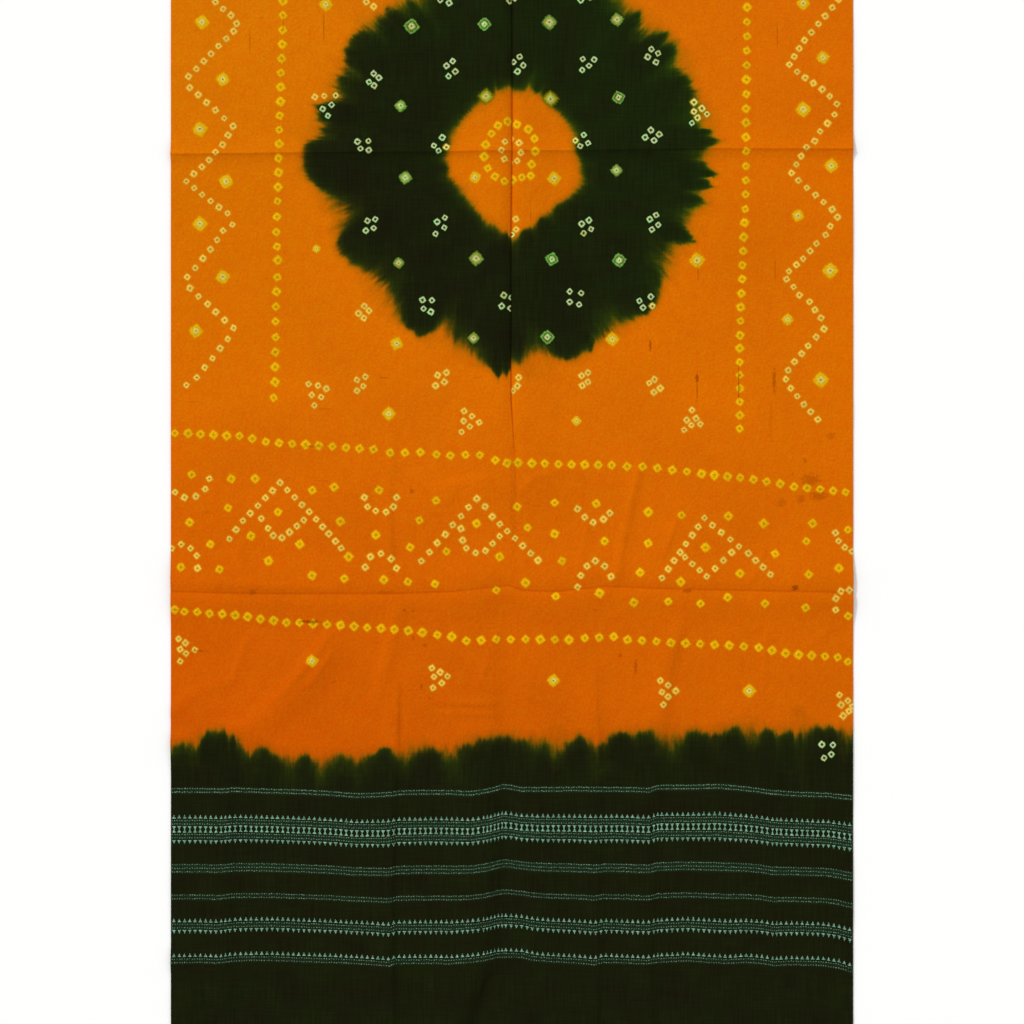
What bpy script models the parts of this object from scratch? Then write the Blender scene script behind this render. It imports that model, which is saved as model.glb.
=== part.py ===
"""A cut length of tied-and-dyed cloth, lying on a flat surface in its storage creases and soft folds.

One sheet, seen from above with its dyed face up. X runs across the web, Y along it towards the
dyed medallion, and Z up. The surface that it lies on is the plane Z = 0.
"""

import math
from typing import NamedTuple

import bmesh
import bpy
import numpy as np
from mathutils import Vector

MM = 0.001

# Driving dimensions, in millimetres
WIDTH = 656.0
LENGTH = 1000.0
THICKNESS = 1.0

# The sheet starts as a grid of square cells, halved once on every fold and once more on its crest
CELL = 25.0
CREST_BAND = 7.0
CREASE_PULL = 60.0  # how far from a storage crease its drift still bends the grid

RUNS_OFF = 0.0  # the fade of a fold that runs off the edge of the cloth


class Fold(NamedTuple):
    """One fold as a crest line with a flank on each side.

    A vertical crest is listed from the bottom up and a level one from left to right, so that its
    left flank is the one on the left, or above. A negative rise is a trough.
    """

    name: str
    rise: float
    left: float  # reach of the left flank
    right: float  # reach of the right flank
    crisp: bool  # pressed to a line, or rounded
    fade_in: float  # length over which the fold grows from its first point
    fade_out: float  # and sinks to its last
    crest: tuple[tuple[float, float], ...]


CENTRE_TUCK = ((4, -28), (3, 16), (2, 60), (-1, 108), (-1, 262), (0, 348), (0, 500))
UPPER_CREASE = ((-328, 345), (-194, 346), (0, 348), (181, 349), (328, 348))
LOWER_CREASE = (
    (-328, -76), (-250, -78), (-110, -78), (-56, -76), (-3, -70), (10, -75), (42, -76),
    (91, -71), (170, -74), (328, -77),
)  # fmt: skip

FOLDS = (
    # name, rise, left, right, crisp, fade in, fade out, crest
    Fold("swell at the tuck", 4.5, 62, 52, False, 60, RUNS_OFF, CENTRE_TUCK),
    Fold("centre tuck", -4.2, 12, 9, True, 60, RUNS_OFF, CENTRE_TUCK),
    Fold("upper crease", 4.5, 22, 14, True, RUNS_OFF, RUNS_OFF, UPPER_CREASE),
    Fold("swell at the lower crease", 5.0, 44, 36, False, RUNS_OFF, RUNS_OFF, LOWER_CREASE),
    Fold("lower crease", -4.6, 14, 9, True, RUNS_OFF, RUNS_OFF, LOWER_CREASE),
    Fold("left bank of the end valley", 8.0, 46, 22, False, RUNS_OFF, 60,
         ((-55, -500), (-46, -469), (-31, -421), (-27, -325), (-27, -123), (-23, -46))),
    Fold("right bank of the end valley", 5.0, 20, 40, False, RUNS_OFF, 60,
         ((46, -500), (37, -469), (22, -421), (17, -325), (17, -181), (15, -46))),
    Fold("long ripple at the lower left", 8.0, 24, 26, False, RUNS_OFF, 50,
         ((-328, -220), (-310, -215), (-257, -202), (-212, -173), (-192, -152), (-166, -110))),
    Fold("short ripple above it", 3.5, 20, 12, False, RUNS_OFF, 40,
         ((-328, -187), (-310, -173), (-287, -162), (-245, -150))),
    Fold("ripple at the third quarter", 4.0, 17, 13, False, 40, 40,
         ((-130, -196), (-118, -162), (-112, -134), (-106, -112), (-100, -78))),
    Fold("left weaver's line", 3.5, 26, 12, False, RUNS_OFF, 70,
         ((-116, -500), (-116, -325), (-113, -227), (-112, -140))),
    Fold("right weaver's line", 3.0, 26, 12, False, RUNS_OFF, 70,
         ((79, -500), (83, -438), (83, -325), (82, -215), (82, -140))),
    Fold("leaning ripple on the right", 4.5, 28, 13, False, RUNS_OFF, 50,
         ((131, -500), (132, -364), (136, -277), (146, -200), (150, -151), (169, -85))),
    Fold("pleat by the left selvedge", 3.0, 24, 14, False, RUNS_OFF, 60,
         ((-277, -500), (-277, -400), (-277, -225))),
    Fold("leaning ripple in the temple row", 4.5, 30, 13, False, 40, 50,
         ((91, -78), (96, -50), (105, -6), (117, 38), (124, 80))),
    Fold("slack above the temple row, left", 3.0, 13, 22, False, 25, 25,
         ((-86, 19), (-45, 23), (-8, 24))),
    Fold("slack above the temple row, right", 3.0, 20, 13, False, 25, 25,
         ((4, 29), (35, 32), (72, 37))),
    Fold("upright ripple in the temple row", 2.5, 24, 12, False, 30, 50,
         ((-114, -72), (-118, -37), (-116, 50), (-114, 90))),
    Fold("slack in the lower strip", 3.5, 13, 13, False, 25, 30,
         ((-84, -187), (-40, -189), (4, -190))),
    Fold("corner ripple", 3.0, 14, 12, False, RUNS_OFF, RUNS_OFF,
         ((-336, -426), (-315, -443), (-258, -486), (-236, -506))),
)  # fmt: skip

CLOTH_COLOUR = (0.66, 0.15, 0.005, 1.0)
CLOTH_ROUGHNESS = 0.85


def clear_scene() -> None:
    """Remove every object of the open scene."""
    for obj in list(bpy.data.objects):
        bpy.data.objects.remove(obj, do_unlink=True)


def smoothed(points: tuple[tuple[float, float], ...], steps: int = 4) -> np.ndarray:
    """A Catmull-Rom line through the points, with this many pieces between each two."""
    known = np.array(points, float)
    padded = np.vstack([2 * known[0] - known[1], known, 2 * known[-1] - known[-2]])
    t = np.linspace(0, 1, steps, endpoint=False)[:, None]
    line = []
    for before, start, end, after in zip(padded, padded[1:], padded[2:], padded[3:]):
        curve = 2 * start + (end - before) * t
        curve += (2 * before - 5 * start + 4 * end - after) * t**2
        curve += (3 * start - before - 3 * end + after) * t**3
        line.append(curve / 2)
    return np.vstack([*line, known[-1:]])


def beside(line: np.ndarray, spots: np.ndarray) -> tuple[np.ndarray, np.ndarray, float]:
    """Where each spot lies against a line.

    Gives the distance from the line, positive on its left, the length along it, and its length.
    """
    nearest = np.full(len(spots), np.inf)
    offset = np.zeros(len(spots))
    along = np.zeros(len(spots))
    done = 0.0
    for start, end in zip(line, line[1:]):
        step = end - start
        size = math.hypot(*step)
        way = step / size
        share = np.clip((spots - start) @ way, 0, size)
        away = spots - start - share[:, None] * way
        distance = np.hypot(away[:, 0], away[:, 1])
        side = np.where(way[0] * away[:, 1] - way[1] * away[:, 0] < 0, -1.0, 1.0)
        closer = distance < nearest
        nearest = np.where(closer, distance, nearest)
        offset = np.where(closer, distance * side, offset)
        along = np.where(closer, done + share, along)
        done += size
    return offset, along, done


def eased(share: np.ndarray) -> np.ndarray:
    """0 to 1 with a level start and end."""
    share = np.clip(share, 0, 1)
    return share * share * (3 - 2 * share)


def fold_height(fold: Fold, spots: np.ndarray) -> np.ndarray:
    """What one fold adds to the height of each spot."""
    offset, along, length = beside(smoothed(fold.crest), spots)
    down = np.clip(np.where(offset > 0, offset / fold.left, -offset / fold.right), 0, 1)
    flank = (1 - down) ** 2 if fold.crisp else (1 - down**2) ** 2
    grown = eased(along / fold.fade_in) if fold.fade_in else 1.0
    left_over = eased((length - along) / fold.fade_out) if fold.fade_out else 1.0
    return fold.rise * flank * grown * left_over


def heights(spots: np.ndarray) -> np.ndarray:
    """The underside's height at each spot: flat on the surface wherever no fold lifts it."""
    return np.maximum(sum(fold_height(fold, spots) for fold in FOLDS), 0.0)


def follow_creases(spots: np.ndarray) -> np.ndarray:
    """The grid with its nearest lines bent onto the tuck and the two storage creases."""
    moved = spots.copy()
    tuck = np.array(CENTRE_TUCK, float)
    drift = np.interp(spots[:, 1], tuck[:, 1], tuck[:, 0])
    moved[:, 0] += drift * eased(1 - np.abs(spots[:, 0]) / CREASE_PULL)
    for crease in (UPPER_CREASE, LOWER_CREASE):
        line = np.array(crease, float)
        row = CELL * round(line[:, 1].mean() / CELL)
        drift = np.interp(spots[:, 0], line[:, 0], line[:, 1]) - row
        moved[:, 1] += drift * eased(1 - np.abs(spots[:, 1] - row) / CREASE_PULL)
    return moved


def halve_cells(bm: bmesh.types.BMesh, wanted) -> None:
    """Cut in two every edge whose middle is wanted, and the cells between them in four."""
    bm.edges.ensure_lookup_table()
    middles = np.array([((e.verts[0].co + e.verts[1].co) / 2).xy[:] for e in bm.edges])
    chosen = [edge for edge, yes in zip(bm.edges, wanted(middles)) if yes]
    bmesh.ops.subdivide_edges(bm, edges=chosen, cuts=1, use_grid_fill=True)


def on_a_fold(spots: np.ndarray) -> np.ndarray:
    """True where some fold moves the cloth, or does just beside the spot."""
    found = np.zeros(len(spots), bool)
    for fold in FOLDS:
        offset, _, _ = beside(smoothed(fold.crest), spots)
        found |= (offset < fold.left + CELL / 4) & (-offset < fold.right + CELL / 4)
    return found


def on_a_crest(spots: np.ndarray) -> np.ndarray:
    """True in the narrow band along the line of each crisp or steep fold."""
    found = np.zeros(len(spots), bool)
    for fold in FOLDS:
        if fold.crisp or abs(fold.rise) > 4:
            offset, _, _ = beside(smoothed(fold.crest), spots)
            found |= np.abs(offset) < CREST_BAND
    return found


def build_cloth(parts: bpy.types.Collection) -> bpy.types.Object:
    """The whole sheet, its underside on its folds and its thickness built upwards."""
    bm = bmesh.new()
    columns = round(WIDTH / CELL)
    rows = round(LENGTH / CELL)
    bmesh.ops.create_grid(bm, x_segments=columns, y_segments=rows, size=0.5)
    for vert in bm.verts:
        vert.co = Vector((vert.co.x * WIDTH, vert.co.y * LENGTH, 0.0))
    halve_cells(bm, on_a_fold)
    halve_cells(bm, on_a_crest)
    spots = follow_creases(np.array([vert.co.xy[:] for vert in bm.verts]))
    for vert, (x, y), z in zip(bm.verts, spots, heights(spots)):
        vert.co = Vector((x, y, z)) * MM
    bmesh.ops.triangulate(bm, faces=bm.faces)
    mesh = bpy.data.meshes.new("cloth")
    bm.to_mesh(mesh)
    bm.free()
    mesh.shade_smooth()
    cloth = bpy.data.objects.new("cloth", mesh)
    parts.objects.link(cloth)
    shell = cloth.modifiers.new("thickness", "SOLIDIFY")
    shell.thickness = THICKNESS * MM
    shell.offset = 1.0
    return cloth


def dyed_cotton() -> bpy.types.Material:
    """Matt woven cotton in the ground's orange."""
    material = bpy.data.materials.new("dyed_cotton")
    material.use_nodes = True
    shader = material.node_tree.nodes["Principled BSDF"]
    shader.inputs["Base Color"].default_value = CLOTH_COLOUR
    shader.inputs["Roughness"].default_value = CLOTH_ROUGHNESS
    shader.inputs["Metallic"].default_value = 0.0
    return material


def main() -> None:
    """Clear the scene and make the cloth in a collection of its own."""
    clear_scene()
    parts = bpy.data.collections.new("bandhani_cloth")
    bpy.context.scene.collection.children.link(parts)
    cloth = build_cloth(parts)
    cloth.data.materials.append(dyed_cotton())


main()
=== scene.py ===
"""Looks of a cut length of tied-and-dyed cotton cloth, lying in its creases and soft folds.

Lengths in the tables are millimetres: X across the web from its middle, Y along it towards the
dyed medallion, Z up. Meshes are in metres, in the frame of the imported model.
"""

import logging
import math
import random
from dataclasses import dataclass
from enum import Enum
from typing import Any, Callable, Iterable, NamedTuple, Sequence

import bpy
import numpy as np
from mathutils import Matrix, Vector
from mathutils.bvhtree import BVHTree
from mathutils.kdtree import KDTree


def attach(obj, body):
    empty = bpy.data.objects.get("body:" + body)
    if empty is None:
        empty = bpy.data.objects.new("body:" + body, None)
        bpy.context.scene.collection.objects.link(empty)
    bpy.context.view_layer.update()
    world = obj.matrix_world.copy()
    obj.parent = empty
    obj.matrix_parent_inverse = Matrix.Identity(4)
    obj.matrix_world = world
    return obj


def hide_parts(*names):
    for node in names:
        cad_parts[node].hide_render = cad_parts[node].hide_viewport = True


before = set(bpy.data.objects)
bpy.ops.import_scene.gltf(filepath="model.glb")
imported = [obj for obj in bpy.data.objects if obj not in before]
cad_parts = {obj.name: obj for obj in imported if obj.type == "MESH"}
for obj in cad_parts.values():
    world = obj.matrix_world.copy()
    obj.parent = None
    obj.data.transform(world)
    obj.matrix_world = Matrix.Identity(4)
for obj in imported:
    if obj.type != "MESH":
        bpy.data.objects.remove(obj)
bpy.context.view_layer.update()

MM = 0.001
BODY = "root"
CLOTH_NODE = "cloth"
ATLAS_NAME = "OFBake"

WIDTH = 656.0
LENGTH = 1000.0
NOWHERE = (9.0, 9.0, 0.0)  # a place far outside every dot and blemish, in their own measure

Spot = tuple[float, float]
Path = tuple[Spot, ...]
Colour = tuple[float, float, float, float]
Reader = Callable[[np.ndarray], np.ndarray]
Socket = bpy.types.NodeSocket


def linear(code: str, cover: float = 1.0) -> Colour:
    """Turn a colour as it is seen on a screen into the light that it gives off.

    Args:
        code: The sRGB colour as six hex digits after a hash.
        cover: How much of what lies under it the colour hides.

    Returns:
        Linear red, green and blue, and the cover as alpha.
    """
    shades = [int(code[at : at + 2], 16) / 255 for at in (1, 3, 5)]
    light = [s / 12.92 if s <= 0.04045 else ((s + 0.055) / 1.055) ** 2.4 for s in shades]
    return (light[0], light[1], light[2], cover)


def eased(share: np.ndarray) -> np.ndarray:
    """Go from 0 to 1 with a level start and end."""
    share = np.clip(share, 0, 1)
    return share * share * (3 - 2 * share)


def smoothed(points: Path, steps: int = 4) -> np.ndarray:
    """Draw a Catmull-Rom line through points.

    Args:
        points: The points that the line runs through.
        steps: The number of straight pieces between each two of them.

    Returns:
        The points of the line, one row each.
    """
    known = np.array(points, float)
    padded = np.vstack([2 * known[0] - known[1], known, 2 * known[-1] - known[-2]])
    t = np.linspace(0, 1, steps, endpoint=False)[:, None]
    line = []
    for before, start, end, after in zip(padded, padded[1:], padded[2:], padded[3:]):
        curve = 2 * start + (end - before) * t
        curve += (2 * before - 5 * start + 4 * end - after) * t**2
        curve += (3 * start - before - 3 * end + after) * t**3
        line.append(curve / 2)
    return np.vstack([*line, known[-1:]])


def beside(line: np.ndarray, spots: np.ndarray) -> tuple[np.ndarray, np.ndarray, float]:
    """Find where spots lie against a line.

    Args:
        line: The points of the line.
        spots: The spots to place, one row each.

    Returns:
        Each spot's distance from the line, positive on its left, its length along the line, and
        the whole length of the line.
    """
    nearest = np.full(len(spots), np.inf)
    offset, along = np.zeros(len(spots)), np.zeros(len(spots))
    done = 0.0
    for start, end in zip(line, line[1:]):
        step = end - start
        size = math.hypot(*step)
        way = step / size
        share = np.clip((spots - start) @ way, 0, size)
        away = spots - start - share[:, None] * way
        distance = np.hypot(away[:, 0], away[:, 1])
        side = np.where(way[0] * away[:, 1] - way[1] * away[:, 0] < 0, -1.0, 1.0)
        closer = distance < nearest
        nearest = np.where(closer, distance, nearest)
        offset = np.where(closer, distance * side, offset)
        along = np.where(closer, done + share, along)
        done += size
    return offset, along, done


def across_line(line: Path, at: np.ndarray) -> np.ndarray:
    """Read a line that is given by its points."""
    return np.interp(at, *np.array(line, float).T)


def search_tree(spots: Sequence[Spot]) -> KDTree:
    """Make the search tree of some places on the cloth."""
    tree = KDTree(len(spots))
    for at, (x, y) in enumerate(spots):
        tree.insert((x, y, 0), at)
    tree.balance()
    return tree


def add_object(name: str, data: bpy.types.ID) -> bpy.types.Object:
    """Put an object that shows some data into the scene."""
    obj = bpy.data.objects.new(name, data)
    bpy.context.scene.collection.objects.link(obj)
    return obj


# ---------------------------------------------------------------- folds


class Fold(NamedTuple):
    """One fold as a crest line with a flank on each side.

    A vertical crest is listed from the bottom up and a level one from left to right, so that its
    left flank is the one on the left, or above. A negative rise is a trough.
    """

    rise: float
    left: float  # reach of the left flank
    right: float  # reach of the right flank
    crisp: bool  # pressed to a line, or rounded
    fade_in: float  # length over which the fold grows from its first point
    fade_out: float  # and sinks to its last
    crest: Path

    def height(self, spots: np.ndarray) -> np.ndarray:
        """Work out the height that the fold adds at each of some spots."""
        offset, along, length = beside(smoothed(self.crest), spots)
        down = np.clip(np.where(offset > 0, offset / self.left, -offset / self.right), 0, 1)
        flank = (1 - down) ** 2 if self.crisp else (1 - down**2) ** 2
        grown = eased(along / self.fade_in) if self.fade_in else 1.0
        left_over = eased((length - along) / self.fade_out) if self.fade_out else 1.0
        return self.rise * flank * grown * left_over


RUNS_OFF = 0.0  # the fade of a fold that runs off the edge of the cloth

CENTRE_TUCK = ((4, -28), (3, 16), (2, 60), (-1, 108), (-1, 262), (0, 348), (0, 500))
UPPER_CREASE = ((-328, 344), (-194, 345.5), (0, 347), (60, 347.5), (181, 349.5), (328, 349))
LOWER_CREASE = (
    (-328, -76), (-250, -78), (-110, -78), (-56, -76), (-3, -70), (10, -75), (42, -76), (91, -71),
    (170, -74), (328, -77),
)  # fmt: skip

# The folds of the solid, with the flanks that the light shows
MAIN_FOLDS = tuple(
    Fold(*row)
    for row in (
        # rise, left, right, crisp, fade in, fade out, crest
        # swell at the tuck
        (4.5, 62, 52, False, 60, RUNS_OFF, CENTRE_TUCK),
        # centre tuck
        (-3.8, 12, 9, True, 240, RUNS_OFF, CENTRE_TUCK),
        # upper crease
        (3.6, 22, 14, True, RUNS_OFF, RUNS_OFF, UPPER_CREASE),
        # swell at the lower crease
        (4.0, 44, 36, False, RUNS_OFF, RUNS_OFF, LOWER_CREASE),
        # lower crease
        (-2.0, 14, 10, True, RUNS_OFF, RUNS_OFF, LOWER_CREASE),
        # left bank of the end valley
        (7.0, 46, 22, False, RUNS_OFF, 330, (
            (-55, -500), (-46, -469), (-31, -421), (-27, -325), (-27, -123), (-23, -46))),
        # right bank of the end valley
        (4.5, 20, 40, False, RUNS_OFF, 300, (
            (46, -500), (37, -469), (22, -421), (17, -325), (17, -181), (15, -46))),
        # long ripple at the lower left
        (3.4, 13, 30, False, RUNS_OFF, 50, (
            (-328, -222), (-300, -218), (-250, -203), (-220, -178), (-194, -146), (-170, -119),
            (-158, -98))),
        # short ripple above it
        (1.3, 7, 9, False, RUNS_OFF, 40, ((-328, -193), (-310, -177), (-287, -166), (-245, -156))),
        # ripple at the third quarter
        (2.0, 9, 14, False, 30, 30, ((-134, -200), (-123, -150), (-113, -108), (-105, -78))),
        # left weaver's line
        (2.4, 20, 6, False, RUNS_OFF, 60, (
            (-116, -500), (-116, -325), (-112, -227), (-109, -140))),
        # right weaver's line
        (2.0, 20, 6, False, RUNS_OFF, 60, (
            (79, -500), (83, -438), (83, -325), (82, -215), (83, -130))),
        # leaning ripple on the right
        (2.8, 24, 10, False, RUNS_OFF, 60, (
            (131, -500), (132, -364), (136, -277), (144, -200), (150, -151), (169, -85))),
        # pleat by the left selvedge
        (3.0, 24, 14, False, RUNS_OFF, 60, ((-277, -500), (-277, -400), (-277, -225))),
        # leaning ripple in the temple row
        (1.9, 7, 7, False, 25, 30, ((97, -78), (102, -50), (110, -10), (119, 30), (126, 66))),
        # slack above the temple row, left
        (1.5, 7, 26, False, 25, 15, ((-84, 22), (-50, 27), (-14, 33))),
        # slack above the temple row, right
        (1.0, 5, 10, False, 10, 20, ((6, 14), (14, 28), (30, 37), (52, 40), (74, 36))),
        # upright ripple in the temple row
        (1.1, 12, 5, False, 25, 40, ((-115, -72), (-117, -37), (-115, 50), (-113, 90))),
        # slack in the lower strip
        (1.3, 6, 5, False, 20, 20, ((-84, -181), (-40, -184), (-4, -184))),
        # corner ripple
        (3.0, 14, 12, False, RUNS_OFF, RUNS_OFF, (
            (-336, -426), (-315, -443), (-258, -486), (-236, -506))),
    )
)  # fmt: skip

# Thin wrinkles that only the dressed cloth has
FINE_FOLDS = tuple(
    Fold(*row)
    for row in (
        # rise, left, right, crisp, fade in, fade out, crest
        # a pinch along the upper crease, and a lens above the lower one
        (0.5, 6, 4, True, RUNS_OFF, RUNS_OFF, UPPER_CREASE),
        (1.2, 5, 12, False, 20, 40, ((-306, -66), (-262, -69), (-200, -72), (-150, -74))),
        # pressed lines of the quarters and the third, and lines under the rows of dots
        (-0.9, 4, 3, True, RUNS_OFF, 20, ((-109, -500), (-111, -380), (-113, -260))),
        (-0.9, 4, 3, True, 15, 15, ((-107, -226), (-107, -146))),
        (-0.9, 4, 3, True, 12, 12, ((-177, -208), (-177, -156))),
        (-0.9, 4, 3, True, RUNS_OFF, 30, ((86, -500), (85, -400), (85, -322))),
        (-0.9, 4, 3, True, 15, 15, ((84, -216), (84, -128))),
        (-0.8, 4, 3, True, 10, 10, ((146, -216), (148, -182))),
        (-0.8, 5, 3, True, RUNS_OFF, 30, ((134, -364), (138, -241))),
        # crinkles pressed into the temple row
        (-0.7, 4, 4, True, 20, 20, ((-112, -68), (-115, 42))),
        (-0.7, 5, 4, True, 12, 12, ((249, 64), (249, 108))),
        # around the long ripple at the lower left
        (0.9, 10, 5, False, 40, 15, (
            (-276, -199), (-238, -186), (-214, -166), (-196, -145), (-178, -121), (-170, -108))),
        (0.6, 4, 6, False, 10, 10, ((-176, -180), (-158, -176), (-140, -181))),
        (1.0, 4, 7, False, 8, 10, ((-198, -171), (-190, -158), (-177, -140), (-168, -134))),
        (0.9, 4, 8, False, 12, 12, ((-271, -168), (-262, -140), (-252, -114))),
        (0.6, 4, 6, False, 10, 15, ((-252, -128), (-238, -96))),
        # in the lower strip, from the left to the right
        (0.9, 4, 5, False, 12, 12, ((-76, -193), (-6, -194))),
        (0.7, 5, 5, False, 15, 20, ((6, -170), (28, -180), (62, -184))),
        (0.9, 5, 7, False, 15, 20, ((-36, -178), (-26, -150), (-17, -122), (-10, -100))),
        (0.6, 4, 5, False, 10, 15, ((-52, -170), (-40, -148))),
        (-0.8, 16, 16, False, 20, 20, ((174, -178), (211, -196))),
        (0.8, 4, 6, False, 12, 18, ((240, -170), (246, -104))),
        (0.7, 4, 5, False, 12, 12, ((298, -128), (306, -92))),
        # crinkles in and around the temples
        (1.0, 5, 5, False, 12, 15, ((144, -48), (150, -30), (160, -4), (163, 16))),
        (0.8, 4, 5, False, 10, 15, ((228, -72), (238, -48), (246, -22))),
        (0.6, 4, 5, False, 10, 15, ((208, 12), (219, 50))),
        (0.7, 4, 5, False, 10, 15, ((-82, -60), (-72, -34), (-66, -16))),
        (0.6, 4, 5, False, 10, 12, ((-63, 2), (-52, 34))),
        (0.6, 4, 5, False, 10, 15, ((-41, 36), (-33, 74))),
        (0.8, 4, 6, False, 10, 15, ((60, -66), (68, -34), (74, 4))),
        (0.6, 4, 5, False, 10, 12, ((10, -62), (12, -22))),
        (0.6, 4, 6, False, 12, 15, ((-190, -58), (-182, -8))),
        (0.6, 4, 5, False, 12, 15, ((-262, -52), (-256, -10))),
        # upright and level creases beside the medallion
        (0.5, 3, 3, False, 30, 30, ((-262, 70), (-262, 210))),
        (0.4, 5, 3, False, 30, 30, ((-196, 120), (-196, 215))),
        (0.35, 6, 4, False, 30, 30, ((-266, 178), (-108, 178))),
        # strain under the medallion
        (0.8, 5, 8, False, 12, 20, ((-58, 74), (-48, 112))),
        (0.6, 5, 7, False, 12, 20, ((-146, 88), (-122, 150))),
        (0.7, 7, 5, False, 12, 20, ((42, 76), (37, 118))),
        # a tent at the end of the tuck, and a crinkle in the corner
        (-1.2, 6, 4, True, RUNS_OFF, 20, ((-38, -500), (-27, -464), (-15, -429))),
        (-1.2, 4, 6, True, RUNS_OFF, 20, ((31, -500), (24, -464), (17, -434))),
        (0.9, 6, 5, False, RUNS_OFF, 15, ((-300, -500), (-328, -470))),
        # wrinkles in the medallion
        (0.7, 7, 7, False, 20, 20, ((-38, 395), (-30, 440), (-12, 475))),
        (0.7, 8, 6, False, 20, 20, ((118, 300), (128, 352), (122, 420))),
    )
)  # fmt: skip

SLACK = (
    # the waves of the slack in pressed cloth: lift, wave length along X and along Y, turns of shift
    (0.16, 211, 157, 0.12), (0.13, -97, 131, 0.44), (0.10, 61, 89, 0.83), (0.07, -43, 37, 0.31),
    (0.06, 29, -53, 0.67),
)  # fmt: skip


@dataclass(frozen=True)
class Relief:
    """How high the cloth's underside lies over the surface."""

    folds: tuple[Fold, ...] = MAIN_FOLDS + FINE_FOLDS

    def heights(self, spots: np.ndarray) -> np.ndarray:
        """Add up folds and slack.

        Args:
            spots: Places on the cloth, one row each.

        Returns:
            The underside's height at each spot, never below the surface, in millimetres.
        """
        total = np.zeros(len(spots))
        for lift, across, along, shift in SLACK:
            turns = spots[:, 0] / across + spots[:, 1] / along + shift
            total += lift * (1 + np.sin(2 * math.pi * turns))
        for fold in self.folds:
            total += fold.height(spots)
        return np.maximum(total, 0.0)

    def near_a_crest(self, spots: np.ndarray, reach: float, steep: float) -> np.ndarray:
        """Find the spots beside the sharper folds.

        Args:
            spots: Places on the cloth, one row each.
            reach: How far from a crest still counts.
            steep: The least rise over reach that makes a fold sharp.

        Returns:
            True for each spot beside such a crest.
        """
        found = np.zeros(len(spots), bool)
        for fold in self.folds:
            if abs(fold.rise) / min(fold.left, fold.right) >= steep:
                offset, _, _ = beside(smoothed(fold.crest), spots)
                found |= np.abs(offset) < min(reach, max(fold.left, fold.right))
        return found


# ---------------------------------------------------------------- dye edges

# The medallion's rim and its window as spokes: degrees, 0 to the right and 90 up, and radius
MEDALLION_CENTRE = (0.0, 346.0)
MEDALLION_EDGE = (
    (-180, 199), (-177, 201), (-173, 197), (-169, 188), (-165, 177), (-160, 167), (-156, 177),
    (-153, 189), (-149, 191), (-143, 184), (-138, 175), (-132, 177), (-126, 187), (-121, 198),
    (-119, 195), (-117, 200), (-115, 194), (-112, 178), (-109, 180), (-107, 189), (-104, 188),
    (-99, 200), (-95, 211), (-93.7, 220), (-92.5, 211), (-91.5, 216), (-90.5, 209), (-90.1, 201),
    (-88, 204), (-84, 189), (-82, 190), (-77, 203), (-75, 208), (-69, 203), (-68, 207), (-67, 199),
    (-64, 195), (-58, 192), (-52, 199), (-50, 203), (-45, 199), (-40, 189), (-38, 183), (-31, 178),
    (-29, 181), (-26, 197), (-23.5, 181), (-18, 180), (-14.5, 192), (-12.5, 182), (-11, 186),
    (-9.5, 198), (-8, 186), (-6, 199), (-4.5, 187), (0, 180), (3, 200), (5.3, 185), (6, 198),
    (6.7, 185), (10, 181), (15, 183), (22.5, 185), (29, 176), (33.5, 190), (35.5, 180),
    (37.5, 190), (41, 172), (45, 174), (47.5, 184), (50, 174), (55, 178), (70, 184), (90, 192),
    (110, 184), (122, 171), (124, 177), (128, 173), (131, 184), (133, 178), (135, 184), (138, 178),
    (143, 188), (149, 188), (154, 176), (157, 182), (162, 172), (164, 178), (167, 196), (168, 188),
    (169.5, 192), (171, 184), (175, 185), (177, 191), (178, 200), (180, 199),
)  # fmt: skip
WINDOW_CENTRE = (0.0, 343.0)
WINDOW_EDGE = (
    (-180, 64), (-177, 66), (-170, 62), (-162, 65), (-152, 61), (-136, 61), (-120, 65), (-110, 71),
    (-103, 71), (-97, 77), (-94, 75), (-90.5, 83), (-87, 83), (-82, 73), (-73, 73), (-67, 66),
    (-58, 68), (-50, 64), (-38, 68), (-27, 72), (-20, 74), (-14, 69), (-5, 66), (1, 62), (9, 61),
    (17, 65), (30, 63), (42, 61), (58, 61), (66, 66), (70, 62), (76, 70), (79, 63), (86, 62),
    (95, 67), (99, 62), (103, 66), (107, 61), (120, 60), (135, 58.5), (150, 59.5), (161, 62.5),
    (170, 61), (180, 64),
)  # fmt: skip
BORDER_EDGE = (
    (-328, -228), (-315, -222), (-302, -226), (-293, -210), (-275, -211), (-273, -218),
    (-268, -214), (-262, -225), (-254, -233), (-237, -227), (-223, -236), (-211, -242),
    (-198, -232), (-185, -246), (-165, -234), (-148, -240), (-135, -234), (-122, -226),
    (-106, -237), (-90, -230), (-76, -227), (-60, -235), (-40, -223), (-26, -218), (-8, -216),
    (2, -219), (12, -219), (21, -224), (32, -221), (42, -233), (65, -215), (82, -228), (105, -210),
    (117, -215), (129, -210), (134, -210), (138, -216), (153, -224), (163, -219), (170, -212),
    (178, -209), (191, -215), (204, -212), (214, -205), (220, -211), (228, -217), (239, -213),
    (245, -206), (254, -215), (269, -210), (273, -218), (283, -214), (290, -208), (306, -207),
    (320, -217), (328, -213),
)  # fmt: skip


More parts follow.
